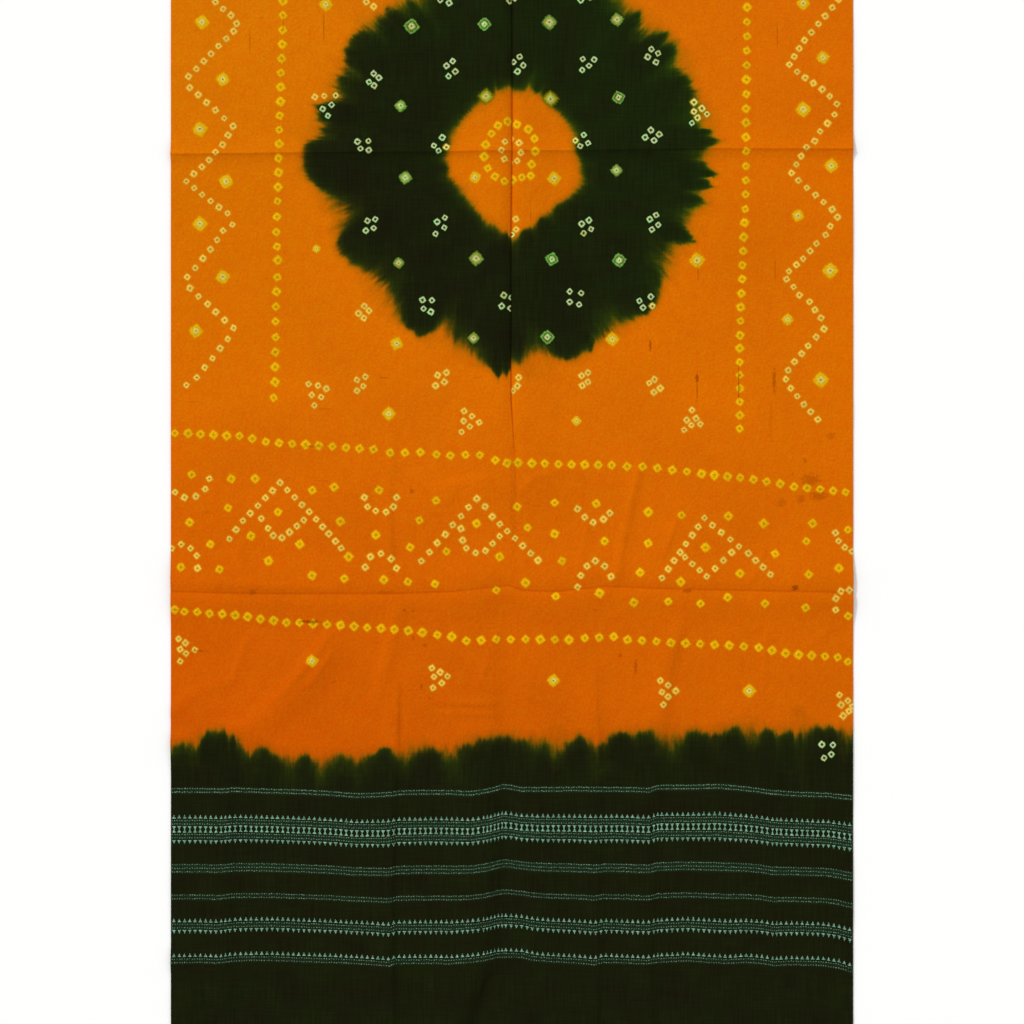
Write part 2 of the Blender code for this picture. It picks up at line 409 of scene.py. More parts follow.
class DyeField:
    """Where the green overdye lies: a ring with a window in it, and the end border."""

    DRAW = 0.09  # how much faster the green deepens for each millimetre that an edge juts out
    SLOWEST, FASTEST = 0.6, 1.7
    SPOKE_SPAN = 8.0  # how far along an edge it is compared with itself, in degrees
    BORDER_SPAN = 26.0  # and in millimetres

    def pace(self, read: Reader, at: np.ndarray, span: float, dyed: int) -> np.ndarray:
        """Work out how fast the green deepens behind an edge.

        Args:
            read: Gives the edge's place.
            at: Where to read it.
            span: How far to either side the edge is compared with itself.
            dyed: 1 where the edge grows towards the bare cloth, and -1 where it shrinks.

        Returns:
            Over 1 behind what juts out, where the dye was drawn up, and under 1 behind a bay.
        """
        around = sum(read(at + span * share) for share in (-1, -0.5, 0.5, 1)) / 4
        pace = 1 + dyed * self.DRAW * (read(at) - around)
        return np.clip(pace, self.SLOWEST, self.FASTEST)

    def past_spokes(self, spots: np.ndarray, centre: Spot, edge: Path, dyed: int) -> np.ndarray:
        """Measure outwards from an edge that is given by its spokes.

        Args:
            spots: Places on the cloth, one row each.
            centre: The point that the spokes start from.
            edge: The angle and the radius of each spoke.
            dyed: 1 for a field that is green inside, and -1 for one that is green outside.

        Returns:
            How far outside the edge each spot lies, negative inside, at the dye's own pace.
        """
        away = spots - np.array(centre)
        angles = np.degrees(np.arctan2(away[:, 1], away[:, 0]))

        def reach(at: np.ndarray) -> np.ndarray:
            """Read the edge's radius at some angles."""
            return np.interp(at, *zip(*sorted(edge)), period=360)

        past = np.hypot(away[:, 0], away[:, 1]) - reach(angles)
        return past * self.pace(reach, angles, self.SPOKE_SPAN, dyed)

    def depths(self, spots: np.ndarray) -> np.ndarray:
        """Measure how deep spots lie in each dyed field.

        Args:
            spots: Places on the cloth, one row each.

        Returns:
            Three columns in millimetres: inside the medallion's rim, outside its window, and
            below the border's edge. A negative depth is outside.
        """

        def height(at: np.ndarray) -> np.ndarray:
            """Read the height of the border's edge at some places across the web."""
            return across_line(BORDER_EDGE, at)

        below = height(spots[:, 0]) - spots[:, 1]
        below *= self.pace(height, spots[:, 0], self.BORDER_SPAN, 1)
        inside = -self.past_spokes(spots, MEDALLION_CENTRE, MEDALLION_EDGE, 1)
        outside = self.past_spokes(spots, WINDOW_CENTRE, WINDOW_EDGE, -1)
        return np.column_stack([inside, outside, below])

    def greenest(self, spot: Spot) -> float:
        """Measure how deep in a green field a spot lies, in millimetres."""
        medallion, window, border = self.depths(np.array([spot]))[0]
        return max(min(medallion, window), border)


# ---------------------------------------------------------------- tied dots


class DotKind(Enum):
    """How a dot was tied, and on which dye it shows. The value goes to the material."""

    PALE = 1  # small, tied before the orange bath
    GOLD = 2  # small, tied after a yellow bath
    LARGE = 3  # a wide pinch, tied twice
    PALE_ON_GREEN = 4
    LARGE_ON_GREEN = 5
    RINGED_ON_GREEN = 6  # a wide pinch whose outer tie slipped, so that it left two rings
    LARGE_ON_EDGE = 7  # a wide pinch on the window's rim, where the green is weak
    PALE_ON_EDGE = 8  # small, in the fringe, where only the thread's rim took the green


class Side(Enum):
    """The side of the centre tuck that a dot belongs to, where the tuck hides some of it."""

    BOTH = 0
    LEFT = -1
    RIGHT = 1


PALE, GOLD, LARGE, _, LARGE_ON_GREEN, RINGED_ON_GREEN, LARGE_ON_EDGE, _ = DotKind
HALF = {
    PALE: 3.5, GOLD: 4.2, LARGE: 6.5, LARGE_ON_GREEN: 6.2, RINGED_ON_GREEN: 6.2, LARGE_ON_EDGE: 6.2,
}  # fmt: skip
ZIGZAG_PITCH = 10.6
LINE_PITCH = 13.6
ROW_PITCH = 13.3
ARCH_PITCH = 9.6
WIDE_ARCH_PITCH = 11.0


class Dot(NamedTuple):
    """One tied dot."""

    x: float
    y: float
    half: float
    turn: float
    kind: DotKind
    side: Side
    seed: float


class DotRun(NamedTuple):
    """Dots tied one after the other along a path, with one on each of its corners."""

    kind: DotKind
    pitch: float
    path: Path


class Cluster(NamedTuple):
    """Dots of one kind that are each given by their own place."""

    kind: DotKind
    side: Side
    spots: Path


RUNS = (
    # the zigzags along both selvedges
    DotRun(PALE, ZIGZAG_PITCH, (
        (-292, 497), (-285, 490.5), (-270, 477.5), (-265, 470), (-267.5, 462.5), (-311, 419),
        (-310, 408), (-285, 386.5), (-268, 371), (-278, 353), (-291, 338.5), (-313, 318),
        (-290, 299), (-273.5, 287.5), (-269, 276.5), (-277.5, 270.5), (-290, 252.5), (-312, 226),
        (-309.5, 215), (-268, 177), (-273, 166.5), (-303, 129.5), (-313, 122))),
    DotRun(PALE, ZIGZAG_PITCH, (
        (314, 493), (308, 485), (281, 453.5), (266.5, 430), (274, 423.5), (298, 406.5),
        (312.5, 392.5), (310, 382), (296.5, 366), (291, 356.5), (283, 350), (268.5, 326),
        (275.5, 319), (308, 291), (313, 283.5), (306, 274.5), (301.5, 266.5), (293, 258),
        (280, 243.5), (266.5, 231.5), (264, 224), (271, 216.5), (276.5, 208.5), (286, 202),
        (297, 186.5), (300, 176), (285, 160), (265.5, 136.5), (263.5, 127.5), (268, 119),
        (280.5, 103.5), (294, 89))),
    # the gold lines beside them
    DotRun(GOLD, LINE_PITCH, (
        (-220, 491), (-225.5, 299), (-226.5, 269), (-225, 242), (-225.5, 226), (-227, 197.5),
        (-227.5, 153.5), (-227.5, 125), (-229.5, 110))),
    DotRun(GOLD, LINE_PITCH, ((226, 485), (224.5, 305), (219, 170), (219, 80))),
    # the gold rows over and under the temples
    DotRun(GOLD, ROW_PITCH, (
        (-324, 76), (-262, 73), (-237, 67.5), (-186, 64), (-133, 60), (-117, 57), (-103, 57),
        (-88, 57.5), (-73, 55.5), (-59, 54), (-45, 55), (-31, 54.5), (-16, 50), (-4.5, 47),
        (6, 47), (96, 45), (140, 42.5), (182, 37), (232, 31.5), (271, 24.5), (321, 19))),
    DotRun(GOLD, ROW_PITCH, (
        (-324, -94), (-314.5, -95.5), (-266, -99), (-217, -106), (-178, -108), (-139, -111),
        (-100, -114), (-58, -120), (-44, -124), (-15, -122), (55, -123), (70, -121), (98, -120),
        (111, -123), (181, -127), (237, -130), (263, -136), (301, -139), (313, -140), (323, -144))),
    # the temples, each with the lower half of a diamond between its legs
    DotRun(PALE, ARCH_PITCH, ((-272, -26), (-258.5, -8.5), (-223, 28), (-188, -7), (-164, -35))),
    DotRun(PALE, ARCH_PITCH, (
        (-241, -6), (-234.5, -15.5), (-229.5, -22.5), (-221, -25), (-200, -8))),
    DotRun(PALE, WIDE_ARCH_PITCH, ((-87, -47), (-34, 13))),
    DotRun(PALE, WIDE_ARCH_PITCH, ((-26, 5), (-19, -4.5), (25, -46.5))),
    DotRun(PALE, ARCH_PITCH, (
        (-49, -16), (-47.5, -27), (-44, -35), (-35, -39.5), (-25.5, -37), (-12, -23.5))),
    DotRun(PALE, ARCH_PITCH, ((144, -63), (185, -6), (193, -13), (227, -39.5), (248, -60))),
    DotRun(PALE, ARCH_PITCH, ((166, -43.5), (187, -62), (211, -39))),
)  # fmt: skip

CLUSTERS = (
    # fours, or what is left of them, in level rows from the top
    Cluster(PALE, Side.BOTH, (
        # by the upper edge
        (-140, 490.5), (-133, 486), (-69, 492), (-60.5, 489.5), (66, 492), (75, 495),
        # over the medallion's window
        (-57, 433.5), (-63, 429), (-54.5, 423.5), (-61, 419), (-133, 421.5), (-128, 417.5),
        (-137.5, 413.5), (-132.5, 410), (7.3, 437), (10.8, 428.7), (5.3, 423), (68, 435.5),
        (79, 435), (74, 429), (67.5, 425), (134, 445), (140.5, 441), (130.5, 437.5),
        (138.5, 432.5),
        # level with the middle of the window
        (-148.5, 356), (-138, 356.5), (-145.5, 349), (-137.5, 347.5), (-67, 360), (-75, 352),
        (-63, 350.5), (-70.5, 347), (133.5, 367), (141.5, 363), (128, 360), (136.5, 357),
        (69, 362.5), (61, 357), (65.5, 351.5), (73, 354.5),
        # under the window
        (-139, 280), (-131.5, 281.5), (-133, 273), (-140.5, 270.5), (-64.5, 283), (-72, 279),
        (-65, 273.5), (-73.5, 267.5), (3.6, 281.3), (3.9, 271.2), (74, 280.5), (67, 277),
        (76, 272), (69, 268), (138.5, 285.5), (132.5, 281.5), (140.5, 276), (134.5, 271.5),
        # over the medallion's lower rim
        (-142, 198), (-137.5, 193.5), (-147.5, 191), (-142.5, 186.5), (-86, 204), (-77, 203.5),
        (-85, 195.5), (-78, 192.5), (-7.8, 208), (-9.9, 197.6), (55.5, 212), (66.5, 210.5),
        (55.5, 202), (64.5, 199.5), (122.5, 203), (133.5, 207), (126, 196.5), (135, 198),
        # under the rim
        (-141, 130), (-149, 127), (-143, 121), (-149, 116.5), (-63, 134), (-71.5, 131.5),
        (-65, 125), (-73.5, 121.5), (6.4, 129), (5.2, 121), (73, 134), (67, 131), (73, 125),
        (67.5, 121.5), (137, 127.5), (132, 124), (142.5, 119), (136.5, 115),
        # by the end border
        (298, -223.5), (308.5, -224), (307, -233), (300, -236.5),
    )),
    # what the centre tuck leaves of its own clusters
    Cluster(PALE, Side.LEFT, (
        (-2.1, 491), (-0.2, 206), (-1.6, 195.7),
    )),
    Cluster(PALE, Side.RIGHT, (
        (2.6, 493.5), (1.5, 432.2), (-0.1, 266.5), (-1, 358.2), (-2.2, 335.6), (1, 116.4),
    )),
    Cluster(PALE, Side.BOTH, (
        # sixes, three dots, two and one
        (-189.5, 399), (-180.5, 400), (-169.5, 400.5), (-173.5, 391.5), (-182, 387.5), (-177, 381),
        (175, 394), (182.5, 388), (175, 385), (187.5, 382.5), (178.5, 379), (173, 374),
        (-195.5, 123), (-186.5, 121.5), (-178.5, 118.5), (-192.5, 112.5), (-183.5, 110.5),
        (-190, 102.5), (-46, 97), (-38.5, 92), (-46.5, 87.5), (-31.5, 86), (-40.5, 82),
        (-48.5, 77), (173, 98), (177, 90), (168, 88.5), (181, 84.5), (172.5, 83.5), (165.5, 79),
        (-320.5, -122), (-314, -126), (-319, -132), (-305, -132.5), (-313.5, -136), (-319, -143.5),
        (-77, -150), (-69, -154), (-75, -158.5), (-62, -158), (-67.5, -164.5), (-76, -169),
        (142.5, -162), (150, -166.5), (144, -173), (157.5, -172), (150, -177.5), (145.5, -185),
        (315, -176), (323, -181.5), (316.5, -185.5), (327.5, -187), (324, -191.5), (318.5, -196),
        # cups and caps between the temples
        (-324, 19), (-315, 14), (-304, 15), (-295, 22), (-291, 32), (-142, 14), (-139, 5),
        (-131, 1), (-121, 0), (-114, 5), (-111, 14), (63, 3), (70, -5), (78, -10), (88, -7),
        (94, -1), (311, -20), (314, -28), (320, -34), (327, -38), (-327, -35), (-318, -31),
        (-309, -35), (-303, -42), (-302, -54), (-141, -53), (-136, -43), (-126, -40), (-116, -45),
        (-111, -54), (63, -72), (66, -61), (72, -52), (80, -47), (89, -52), (95, -62), (311, -94),
        (311, -83), (316, -76), (324, -75),
        # the innermost ring of the medallion
        (6.7, 354), (8.5, 344.4), (5, 337), (-7.3, 338.7), (-10, 347), (-6.7, 355.2),
    )),
    # the ring around it, which the tuck parts
    Cluster(GOLD, Side.RIGHT, (
        (4.7, 372), (15.7, 367.4), (21.5, 358.4), (22.4, 346), (18.8, 333.8), (18, 322.8),
        (9.5, 321.2), (0.4, 319),
    )),
    Cluster(GOLD, Side.LEFT, (
        (-7.3, 317.6), (-16.3, 322), (-23.2, 330), (-26.7, 341), (-25.2, 352.4), (-19.7, 363.2),
        (-13.4, 371), (-4.2, 375),
    )),
    # gold fillers of the temple row
    Cluster(GOLD, Side.BOTH, (
        (-308, 36), (-270, 32), (-247, 32), (-192, 21), (-171, 24), (-128, 21), (-73, 11),
        (-273, 4), (-310, -10), (-225, 0), (-251, -23), (-165, -9), (-131, -22), (-89, -8),
        (-34, -11), (-290, -31), (-204, -31), (-98, -34), (-63, -38), (-234, -47), (-157, -43),
        (-318, -53), (-281, -55), (-192, -61), (-161, -64), (-123, -65), (-100, -67), (-74, -69),
        (-15, -75), (-12, -43), (5, 5), (41, 9), (81, 8), (131, 0), (163, -3), (208, -4),
        (242, -11), (289, -11), (323, -17), (15, -15), (41, -21), (89, -28), (131, -30),
        (186, -34), (253, -40), (283, -28), (48, -47), (123, -58), (162, -67), (219, -59),
        (285, -60), (314, -54), (13, -68), (42, -81), (84, -78), (117, -87), (150, -86),
        (181, -88), (207, -82), (243, -88), (282, -92), (323, -100),
    )),
)  # fmt: skip


class Pinch(NamedTuple):
    """One wide pinch, with a size and a tint of its own."""

    x: float
    y: float
    kind: DotKind
    size: float  # against the usual one
    tint: float  # from 0, a little yellow, to 1, a little blue


PINCHES = tuple(
    Pinch(*row)
    for row in (
        # in the bays of the left zigzag
        (-298, 471, LARGE, 1.0, 0.5), (-278, 416, LARGE, 0.95, 0.6), (-300, 368, LARGE, 1.05, 0.3),
        (-275, 318, LARGE, 1.0, 0.5), (-300, 277, LARGE, 1.03, 0.4), (-278, 226, LARGE, 1.0, 0.2),
        (-304, 174, LARGE, 0.96, 0.3),
        # and of the right one
        (280, 489, LARGE, 0.9, 0.4), (299, 437, LARGE, 0.92, 0.3), (280, 387, LARGE, 1.05, 0.4),
        (307, 333, LARGE, 0.98, 0.5), (275, 285, LARGE, 0.86, 0.4), (306, 232, LARGE, 1.08, 0.5),
        (265, 185, LARGE, 0.84, 0.3), (297, 127, LARGE, 1.08, 0.4),
        # on the medallion and in its window
        (-96.5, 467, RINGED_ON_GREEN, 1.16, 0.1), (-26.5, 468.5, RINGED_ON_GREEN, 1.0, 0.7),
        (36, 470.5, LARGE_ON_GREEN, 1.08, 0.35), (101, 473.5, LARGE_ON_GREEN, 0.98, 0.25),
        (-107, 390.5, LARGE_ON_GREEN, 0.88, 1.0), (-25, 399, LARGE_ON_EDGE, 1.0, 0.2),
        (37, 397, LARGE_ON_EDGE, 1.05, 0.1), (102.5, 398.5, RINGED_ON_GREEN, 1.0, 0.2),
        (-102.5, 321.5, LARGE_ON_GREEN, 0.95, 0.8), (-35.5, 321.5, LARGE, 0.86, 0.3),
        (40.5, 320.5, LARGE, 0.96, 0.2), (100.5, 328.5, LARGE_ON_GREEN, 0.87, 0.6),
        (-109, 239.5, LARGE_ON_GREEN, 0.82, 0.1), (-34.5, 243.5, LARGE_ON_GREEN, 1.05, 0.1),
        (38.4, 243, RINGED_ON_GREEN, 1.0, 0.9), (103, 242, RINGED_ON_GREEN, 1.05, 0.6),
        (-37, 167, LARGE_ON_GREEN, 0.85, 0.1), (34, 168, RINGED_ON_GREEN, 1.05, 0.4),
        # between them, and in the lower strip
        (-179, 488, LARGE, 0.95, 0.2), (-188, 253, LARGE, 0.6, 0.5), (178, 242, LARGE, 1.08, 0.3),
        (-111, 162, LARGE, 0.92, 0.3), (96.5, 166, LARGE, 0.95, 0.4),
        (-118.5, 94.5, LARGE, 0.93, 0.5), (62, 87.5, LARGE, 0.7, 0.5),
        (-192, -143, LARGE, 0.86, 0.4), (40, -162, LARGE, 0.86, 0.5),
        (228, -172, LARGE, 0.93, 0.4),
    )
)  # fmt: skip

JITTER = 0.3  # how far a dot of a run strays from its place
UNEVEN = 0.1  # how much wider or narrower a dot is than the others of its kind
SEEDS = (0.05, 0.95)  # the range of what makes one dot yellower or bluer than another
TURN = math.radians(16)  # how far a dot may lie turned
HALO = 1.45  # how far a dot colours the cloth, in half widths
PUCKER = 0.09  # the lift of a dot's middle, in half widths
EDGE_FROM = -6.0  # the depths between which the green is weak, where a pale dot shows it
EDGE_TO = 3.0


class DotField:
    """Every tied dot of the cloth, laid out once."""

    def __init__(self, dye: DyeField, seed: int = 7) -> None:
        """Lay the dots out.

        Args:
            dye: The green fields, which set the look of the dots on them.
            seed: Starts the unevenness of the tying.
        """
        self.dye = dye
        self.chance = random.Random(seed)
        self.dots: list[Dot] = []
        for run in RUNS:
            for spot in self.along(run):
                self.tie(spot, run.kind, Side.BOTH, JITTER)
        for cluster in CLUSTERS:
            for spot in cluster.spots:
                self.tie(spot, cluster.kind, cluster.side, 0.0)
        for x, y, kind, size, tint in PINCHES:
            turn = self.chance.uniform(-TURN, TURN)
            # a kind and its seed travel as one number, so the seed stays clear of 0 and 1
            own = 0.02 + tint * 0.95
            self.dots.append(Dot(x, y, HALF[kind] * size, turn, kind, Side.BOTH, own))

    @staticmethod
    def along(run: DotRun) -> Iterable[Spot]:
        """Space a run's dots out evenly on each straight piece of its path.

        Args:
            run: The run to lay out.

        Returns:
            The place of each dot.
        """
        yield run.path[0]
        for start, end in zip(run.path, run.path[1:]):
            count = max(1, round(math.dist(start, end) / run.pitch))
            for share in (step / count for step in range(1, count + 1)):
                yield tuple(a + (b - a) * share for a, b in zip(start, end))

    def tie(self, spot: Spot, kind: DotKind, side: Side, stray: float) -> None:
        """Add one dot with its own size, turn and stray.

        Args:
            spot: Where it was meant to go.
            kind: How it was tied.
            side: The side of the tuck that it belongs to.
            stray: How far it may lie from its place.
        """
        x = spot[0] + self.chance.uniform(-stray, stray)
        y = spot[1] + self.chance.uniform(-stray, stray)
        half = HALF[kind] * self.chance.uniform(1 - UNEVEN, 1 + UNEVEN)
        if kind is PALE:
            depth = self.dye.greenest((x, y))
            if depth > EDGE_TO:
                kind = DotKind.PALE_ON_GREEN
            elif depth > EDGE_FROM:
                kind = DotKind.PALE_ON_EDGE
        turn = self.chance.uniform(-TURN, TURN)
        self.dots.append(Dot(x, y, half, turn, kind, side, self.chance.uniform(*SEEDS)))

    def nearest(self, centres: np.ndarray, sides: np.ndarray, spans: np.ndarray) -> np.ndarray:
        """Find each face's nearest dots.

        Args:
            centres: The middle of each face.
            sides: The side of the tuck that each face is on, -1 or 1.
            spans: How far each face reaches from its middle.

        Returns:
            For each face the places of its nearest and next dot in the list, -1 for none.
        """
        tree = search_tree(centres)
        chosen = np.full((len(centres), 2), -1)
        closest = np.full((len(centres), 2), np.inf)
        widest = float(spans.max())
        for at, dot in enumerate(self.dots):
            reach = dot.half * HALO
            for _, face, gap in tree.find_range((dot.x, dot.y, 0), reach + widest):
                if gap > reach + spans[face] or dot.side.value == -sides[face]:
                    continue
                share = gap / dot.half
                if share < closest[face, 0]:
                    chosen[face], closest[face] = (at, chosen[face, 0]), (share, closest[face, 0])
                elif share < closest[face, 1]:
                    chosen[face, 1], closest[face, 1] = at, share
        return chosen

    def measures(self, spots: np.ndarray, owners: np.ndarray) -> np.ndarray:
        """Give spots in the measure of a dot of their own.

        Args:
            spots: Places on the cloth, one row each.
            owners: For each spot, the place of its dot in the list, -1 for none.

        Returns:
            Three columns: two lengths in half widths along the dot's own turned axes, and the
            dot's kind with its seed as the fraction.
        """
        table = np.array([(d.x, d.y, d.half, d.turn, d.kind.value + d.seed) for d in self.dots])
        x, y, half, turn, code = table[owners].T
        across, along = (spots[:, 0] - x) / half, (spots[:, 1] - y) / half
        right = across * np.cos(turn) + along * np.sin(turn)
        turned = np.column_stack([right, along * np.cos(turn) - across * np.sin(turn), code])
        turned[owners < 0] = NOWHERE
        return turned

    def pucker(self, spots: np.ndarray) -> np.ndarray:
        """Work out how far the ties still lift the cloth at each of some spots."""
        tree = search_tree(spots)
        lift = np.zeros(len(spots))
        for dot in self.dots:
            for _, at, gap in tree.find_range((dot.x, dot.y, 0), dot.half):
                dome = (1 - (gap / dot.half) ** 2) ** 2
                lift[at] = max(lift[at], PUCKER * dot.half * dome)
        return lift


# ---------------------------------------------------------------- slubs and stains


class Blemish(NamedTuple):
    """One slub or stain: a dark fleck, long one way."""

    x: float
    y: float
    across: float  # half its width
    along: float  # half its height
    strength: float


BLEMISHES = tuple(
    Blemish(*row)
    for row in (
        # x, y, half across, half along, strength
        (1.5, 14, 3.6, 72, 0.11), (-252, 452, 0.7, 13, 0.37), (-181, 466, 0.8, 15, 0.37),
        (-220, 468, 0.7, 6.5, 0.41), (255, 459, 0.7, 13, 0.33), (179, 232, 0.8, 9.5, 0.37),
        (253, 233, 0.7, 12, 0.34), (133, 160, 1.3, 7, 0.57), (178, 120, 0.8, 17, 0.49),
        (178, 129, 1.9, 5, 0.61), (218, 122, 0.8, 19, 0.61), (252, 126, 1.9, 13, 0.41),
        (249, 86, 0.7, 22, 0.26), (307, 73, 4.5, 4, 0.26), (-307, 106, 9, 0.8, 0.22),
        (-123, 129, 6, 0.9, 0.31), (-33, 129, 5.5, 0.7, 0.19), (-179, 99, 8.5, 0.8, 0.25),
        (-194, 63, 11, 1.1, 0.38), (-180, 30, 8, 0.7, 0.22), (-194, -105.5, 10.5, 1.9, 0.66),
        (-300, -133.5, 9, 1.5, 0.34), (287, 31, 10, 6.5, 0.3), (295, 15.5, 9, 5, 0.3),
        (270, 37, 1, 2.5, 0.25), (281.5, 49, 2.2, 3, 0.28), (259, 9, 6, 5, 0.2),
        (278, 12, 4.5, 4.5, 0.28), (272, -73, 3.8, 3.4, 0.62), (169, -76, 5, 2.4, 0.42),
        (-249, -77, 3.4, 3.0, 0.34), (-122, -77, 9, 1.6, 0.22), (-96, 20, 2.6, 2.6, 0.38),
        (-103, -94, 2.2, 1.8, 0.34), (-95, -95, 1.8, 1.8, 0.31), (-95, -121, 1.8, 3, 0.31),
        (-84, -128, 2.2, 2.2, 0.28), (-80, -179, 2.0, 1.6, 0.25), (-87, -168, 1.6, 4.0, 0.34),
        (104, -138, 2, 2.6, 0.28), (119, -149, 1.9, 9, 0.34), (-171, -163, 2.4, 1.6, 0.28),
        (80, -94, 3, 1.4, 0.22), (-293, 0, 3, 2, 0.16), (18, 284, 0.8, 9, 0.33),
        (24, 278, 0.6, 8, 0.25), (-56, 319, 1.6, 4, 0.16), (-242, 475, 3, 0.8, 0.25),
    )
)  # fmt: skip
BLEMISH_COLOUR = linear("#702600")


# ---------------------------------------------------------------- weft of the end border

# Across the web, how far the folds lift a pick above its level at the left selvedge
UPPER_WAVE = (
    (-326, 0), (-280, 0), (-268, 0.9), (-226, -0.1), (-199, -0.9), (-172, -2.2), (-152, -3.9),
    (-128, -3.8), (-117, -3.2), (-110, -2), (-88, -1.6), (-40, -1.4), (-31, -0.1), (-21, 1.6),
    (-9, 4.2), (-2, 3.8), (8, 2.4), (36, 1.3), (75, 0.6), (100, 0.8), (132, 0.1), (139, 2.5),
    (198, 2.9), (224, 1.2), (238, -0.2), (250, -2.1), (278, -3.3), (304, -4.2), (326, -7.4),
)  # fmt: skip
LOWER_WAVE = (
    (-326, -0.2), (-282, -0.1), (-271, 1.2), (-250, 1.8), (-230, 2), (-202, 0.8), (-173, -0.1),
    (-145, -1.5), (-118, -3.1), (-112, -1.2), (-60, -0.8), (-36, 1.8), (-26, 3), (-14, 5.3),
    (10, 5), (19, 3.2), (34, 1.5), (55, -0.2), (79, -1.8), (88, 0), (112, -0.8), (130, -1.1),
    (140, 0.2), (168, 1.5), (187, 0.2), (208, -1), (224, 0), (240, -1), (251, -3), (270, -2.2),
    (299, -3), (314, -5.3), (325, -9),
)  # fmt: skip
UPPER_AT = -305.0  # the height at which each wave was read, at the left selvedge
LOWER_AT = -412.0
BEYOND = -0.35  # the share of the way down at which the change of the waves starts


def weft_lift(x: np.ndarray, level: np.ndarray) -> np.ndarray:
    """Work out how far the folds lift a pick of the end border.

    Args:
        x: Places across the web.
        level: The height of each place's pick at the left selvedge.

    Returns:
        The lift at each place, in millimetres.
    """
    upper, lower = across_line(UPPER_WAVE, x), across_line(LOWER_WAVE, x)
    part = np.clip((level - UPPER_AT) / (LOWER_AT - UPPER_AT), BEYOND, 1)
    return upper + (lower - upper) * part


# ---------------------------------------------------------------- materials

# Blender's names for the kinds of node
MATH, VECTOR, MIX = "ShaderNodeMath", "ShaderNodeVectorMath", "ShaderNodeMix"
SPREAD, RAMP, BUMP = "ShaderNodeMapRange", "ShaderNodeValToRGB", "ShaderNodeBump"
SPLIT, JOIN = "ShaderNodeSeparateXYZ", "ShaderNodeCombineXYZ"
UNDER, OVER = 6, 7  # the two inputs of a mix of colours
FLAT = (1, 1, 0)  # what a vector is multiplied by to lose its third part
ENDLESS = 1000.0  # the length of a patch along an axis on which the pattern stays the same
NOISE_LOW, NOISE_HIGH = 0.28, 0.72  # Blender's noise hardly leaves these values


def grey(share: float) -> Colour:
    """Give a plain value as a colour."""
    return (share, share, share, 1.0)


def shades(*rows: tuple[Any, ...]) -> tuple[tuple[float, Colour], ...]:
    """Turn rows of a place, an sRGB colour and a cover into the stops of a ramp."""
    return tuple((place, linear(*shade)) for place, *shade in rows)


class Nodes:
    """The nodes of a new material. Where an input is linked, a node stands for its one output."""

    def __init__(self, name: str) -> None:
        """Start the material.

        Args:
            name: What it is called, after the real material and its surface.
        """
        self.material = bpy.data.materials.new(name)
        self.material.use_nodes = True
        self.tree = self.material.node_tree
        spot = self.add("ShaderNodeTexCoord").outputs["Object"]
        # the place on the cloth in millimetres
        self.place = self.add(VECTOR, {0: spot, "Scale": 1 / MM}, operation="SCALE")

    def add(
        self, kind: str, links: dict[int | str, Any] | None = None, **settings: Any
    ) -> bpy.types.Node:
        """Add one node.

        Args:
            kind: Blender's name for the node.
            links: What each input takes, by name or place: a node, one of its outputs or a value.
            settings: The node's own properties, by name.

        Returns:
            The new node.
        """
        node = self.tree.nodes.new(kind)
        for name, value in settings.items():
            setattr(node, name, value)
        self.feed(node, links or {})
        return node

    def feed(self, node: bpy.types.Node, links: dict[int | str, Any]) -> None:
        """Give a node's inputs what they take.

        Args:
            node: The node.
            links: What each input takes, as for a new node.
        """
        for name, value in links.items():
            if isinstance(value, bpy.types.Node):
                value = next(output for output in value.outputs if output.enabled)
            if isinstance(value, Socket):
                self.tree.links.new(value, node.inputs[name])
            else:
                node.inputs[name].default_value = value

    def finished(self, links: dict[int | str, Any]) -> bpy.types.Material:
        """Give the surface its inputs, and the material back."""
        self.feed(self.tree.nodes["Principled BSDF"], links)
        return self.material

    def ramp(
        self, value: Any, stops: Iterable[tuple[float, Colour]], low: float = 0.0, high: float = 1.0
    ) -> bpy.types.Node:
        """Turn a value into a colour.

        Args:
            value: The node or the output that is read.
            stops: Where each colour stands, in the value's own unit, from low to high.
            low: The value at which the ramp starts.
            high: The value at which it ends.

        Returns:
            The ramp.
        """
        if (low, high) != (0.0, 1.0):
            value = self.add(SPREAD, {"Value": value, "From Min": low, "From Max": high})
        node = self.add(RAMP, {0: value})
        elements = node.color_ramp.elements
        for at, (place, colour) in enumerate(stops):
            share = (place - low) / (high - low)
            stop = elements[at] if at < len(elements) else elements.new(share)
            stop.position, stop.color = share, colour
        return node

    def grain(
        self, size: tuple[float, ...], low: float, high: float, detail: float = 2.0, at: Any = None
    ) -> bpy.types.Node:
        """Add an uneven pattern of a real size.

        Args:
            size: The length of one patch along each axis; without a third it is endless there.
            low: The value in the dark patches.
            high: The value in the bright patches.
            detail: The number of finer layers on top.
            at: Where the pattern is read, if not at the place on the cloth.

        Returns:
            The pattern.
        """
        read = self.place if at is None else at
        scaled = self.add(VECTOR, {0: read, 1: (*size, ENDLESS)[:3]}, operation="DIVIDE")
        noise = self.add("ShaderNodeTexNoise", {"Vector": scaled, "Scale": 1.0, "Detail": detail})
        ends = {"From Min": NOISE_LOW, "From Max": NOISE_HIGH, "To Min": low, "To Max": high}
        return self.add(SPREAD, {"Value": noise, **ends})

    def carried(self, name: str) -> Socket:
        """Read the three values that the face corners carry under a name."""
        return self.add("ShaderNodeAttribute", attribute_name=name).outputs["Vector"]

    def across_cloth(self, vector: Any) -> bpy.types.Node:
        """Measure how long a vector is without its third part."""
        flat = self.add(VECTOR, {0: vector, 1: FLAT}, operation="MULTIPLY")
        return self.add(VECTOR, {0: flat}, operation="LENGTH")


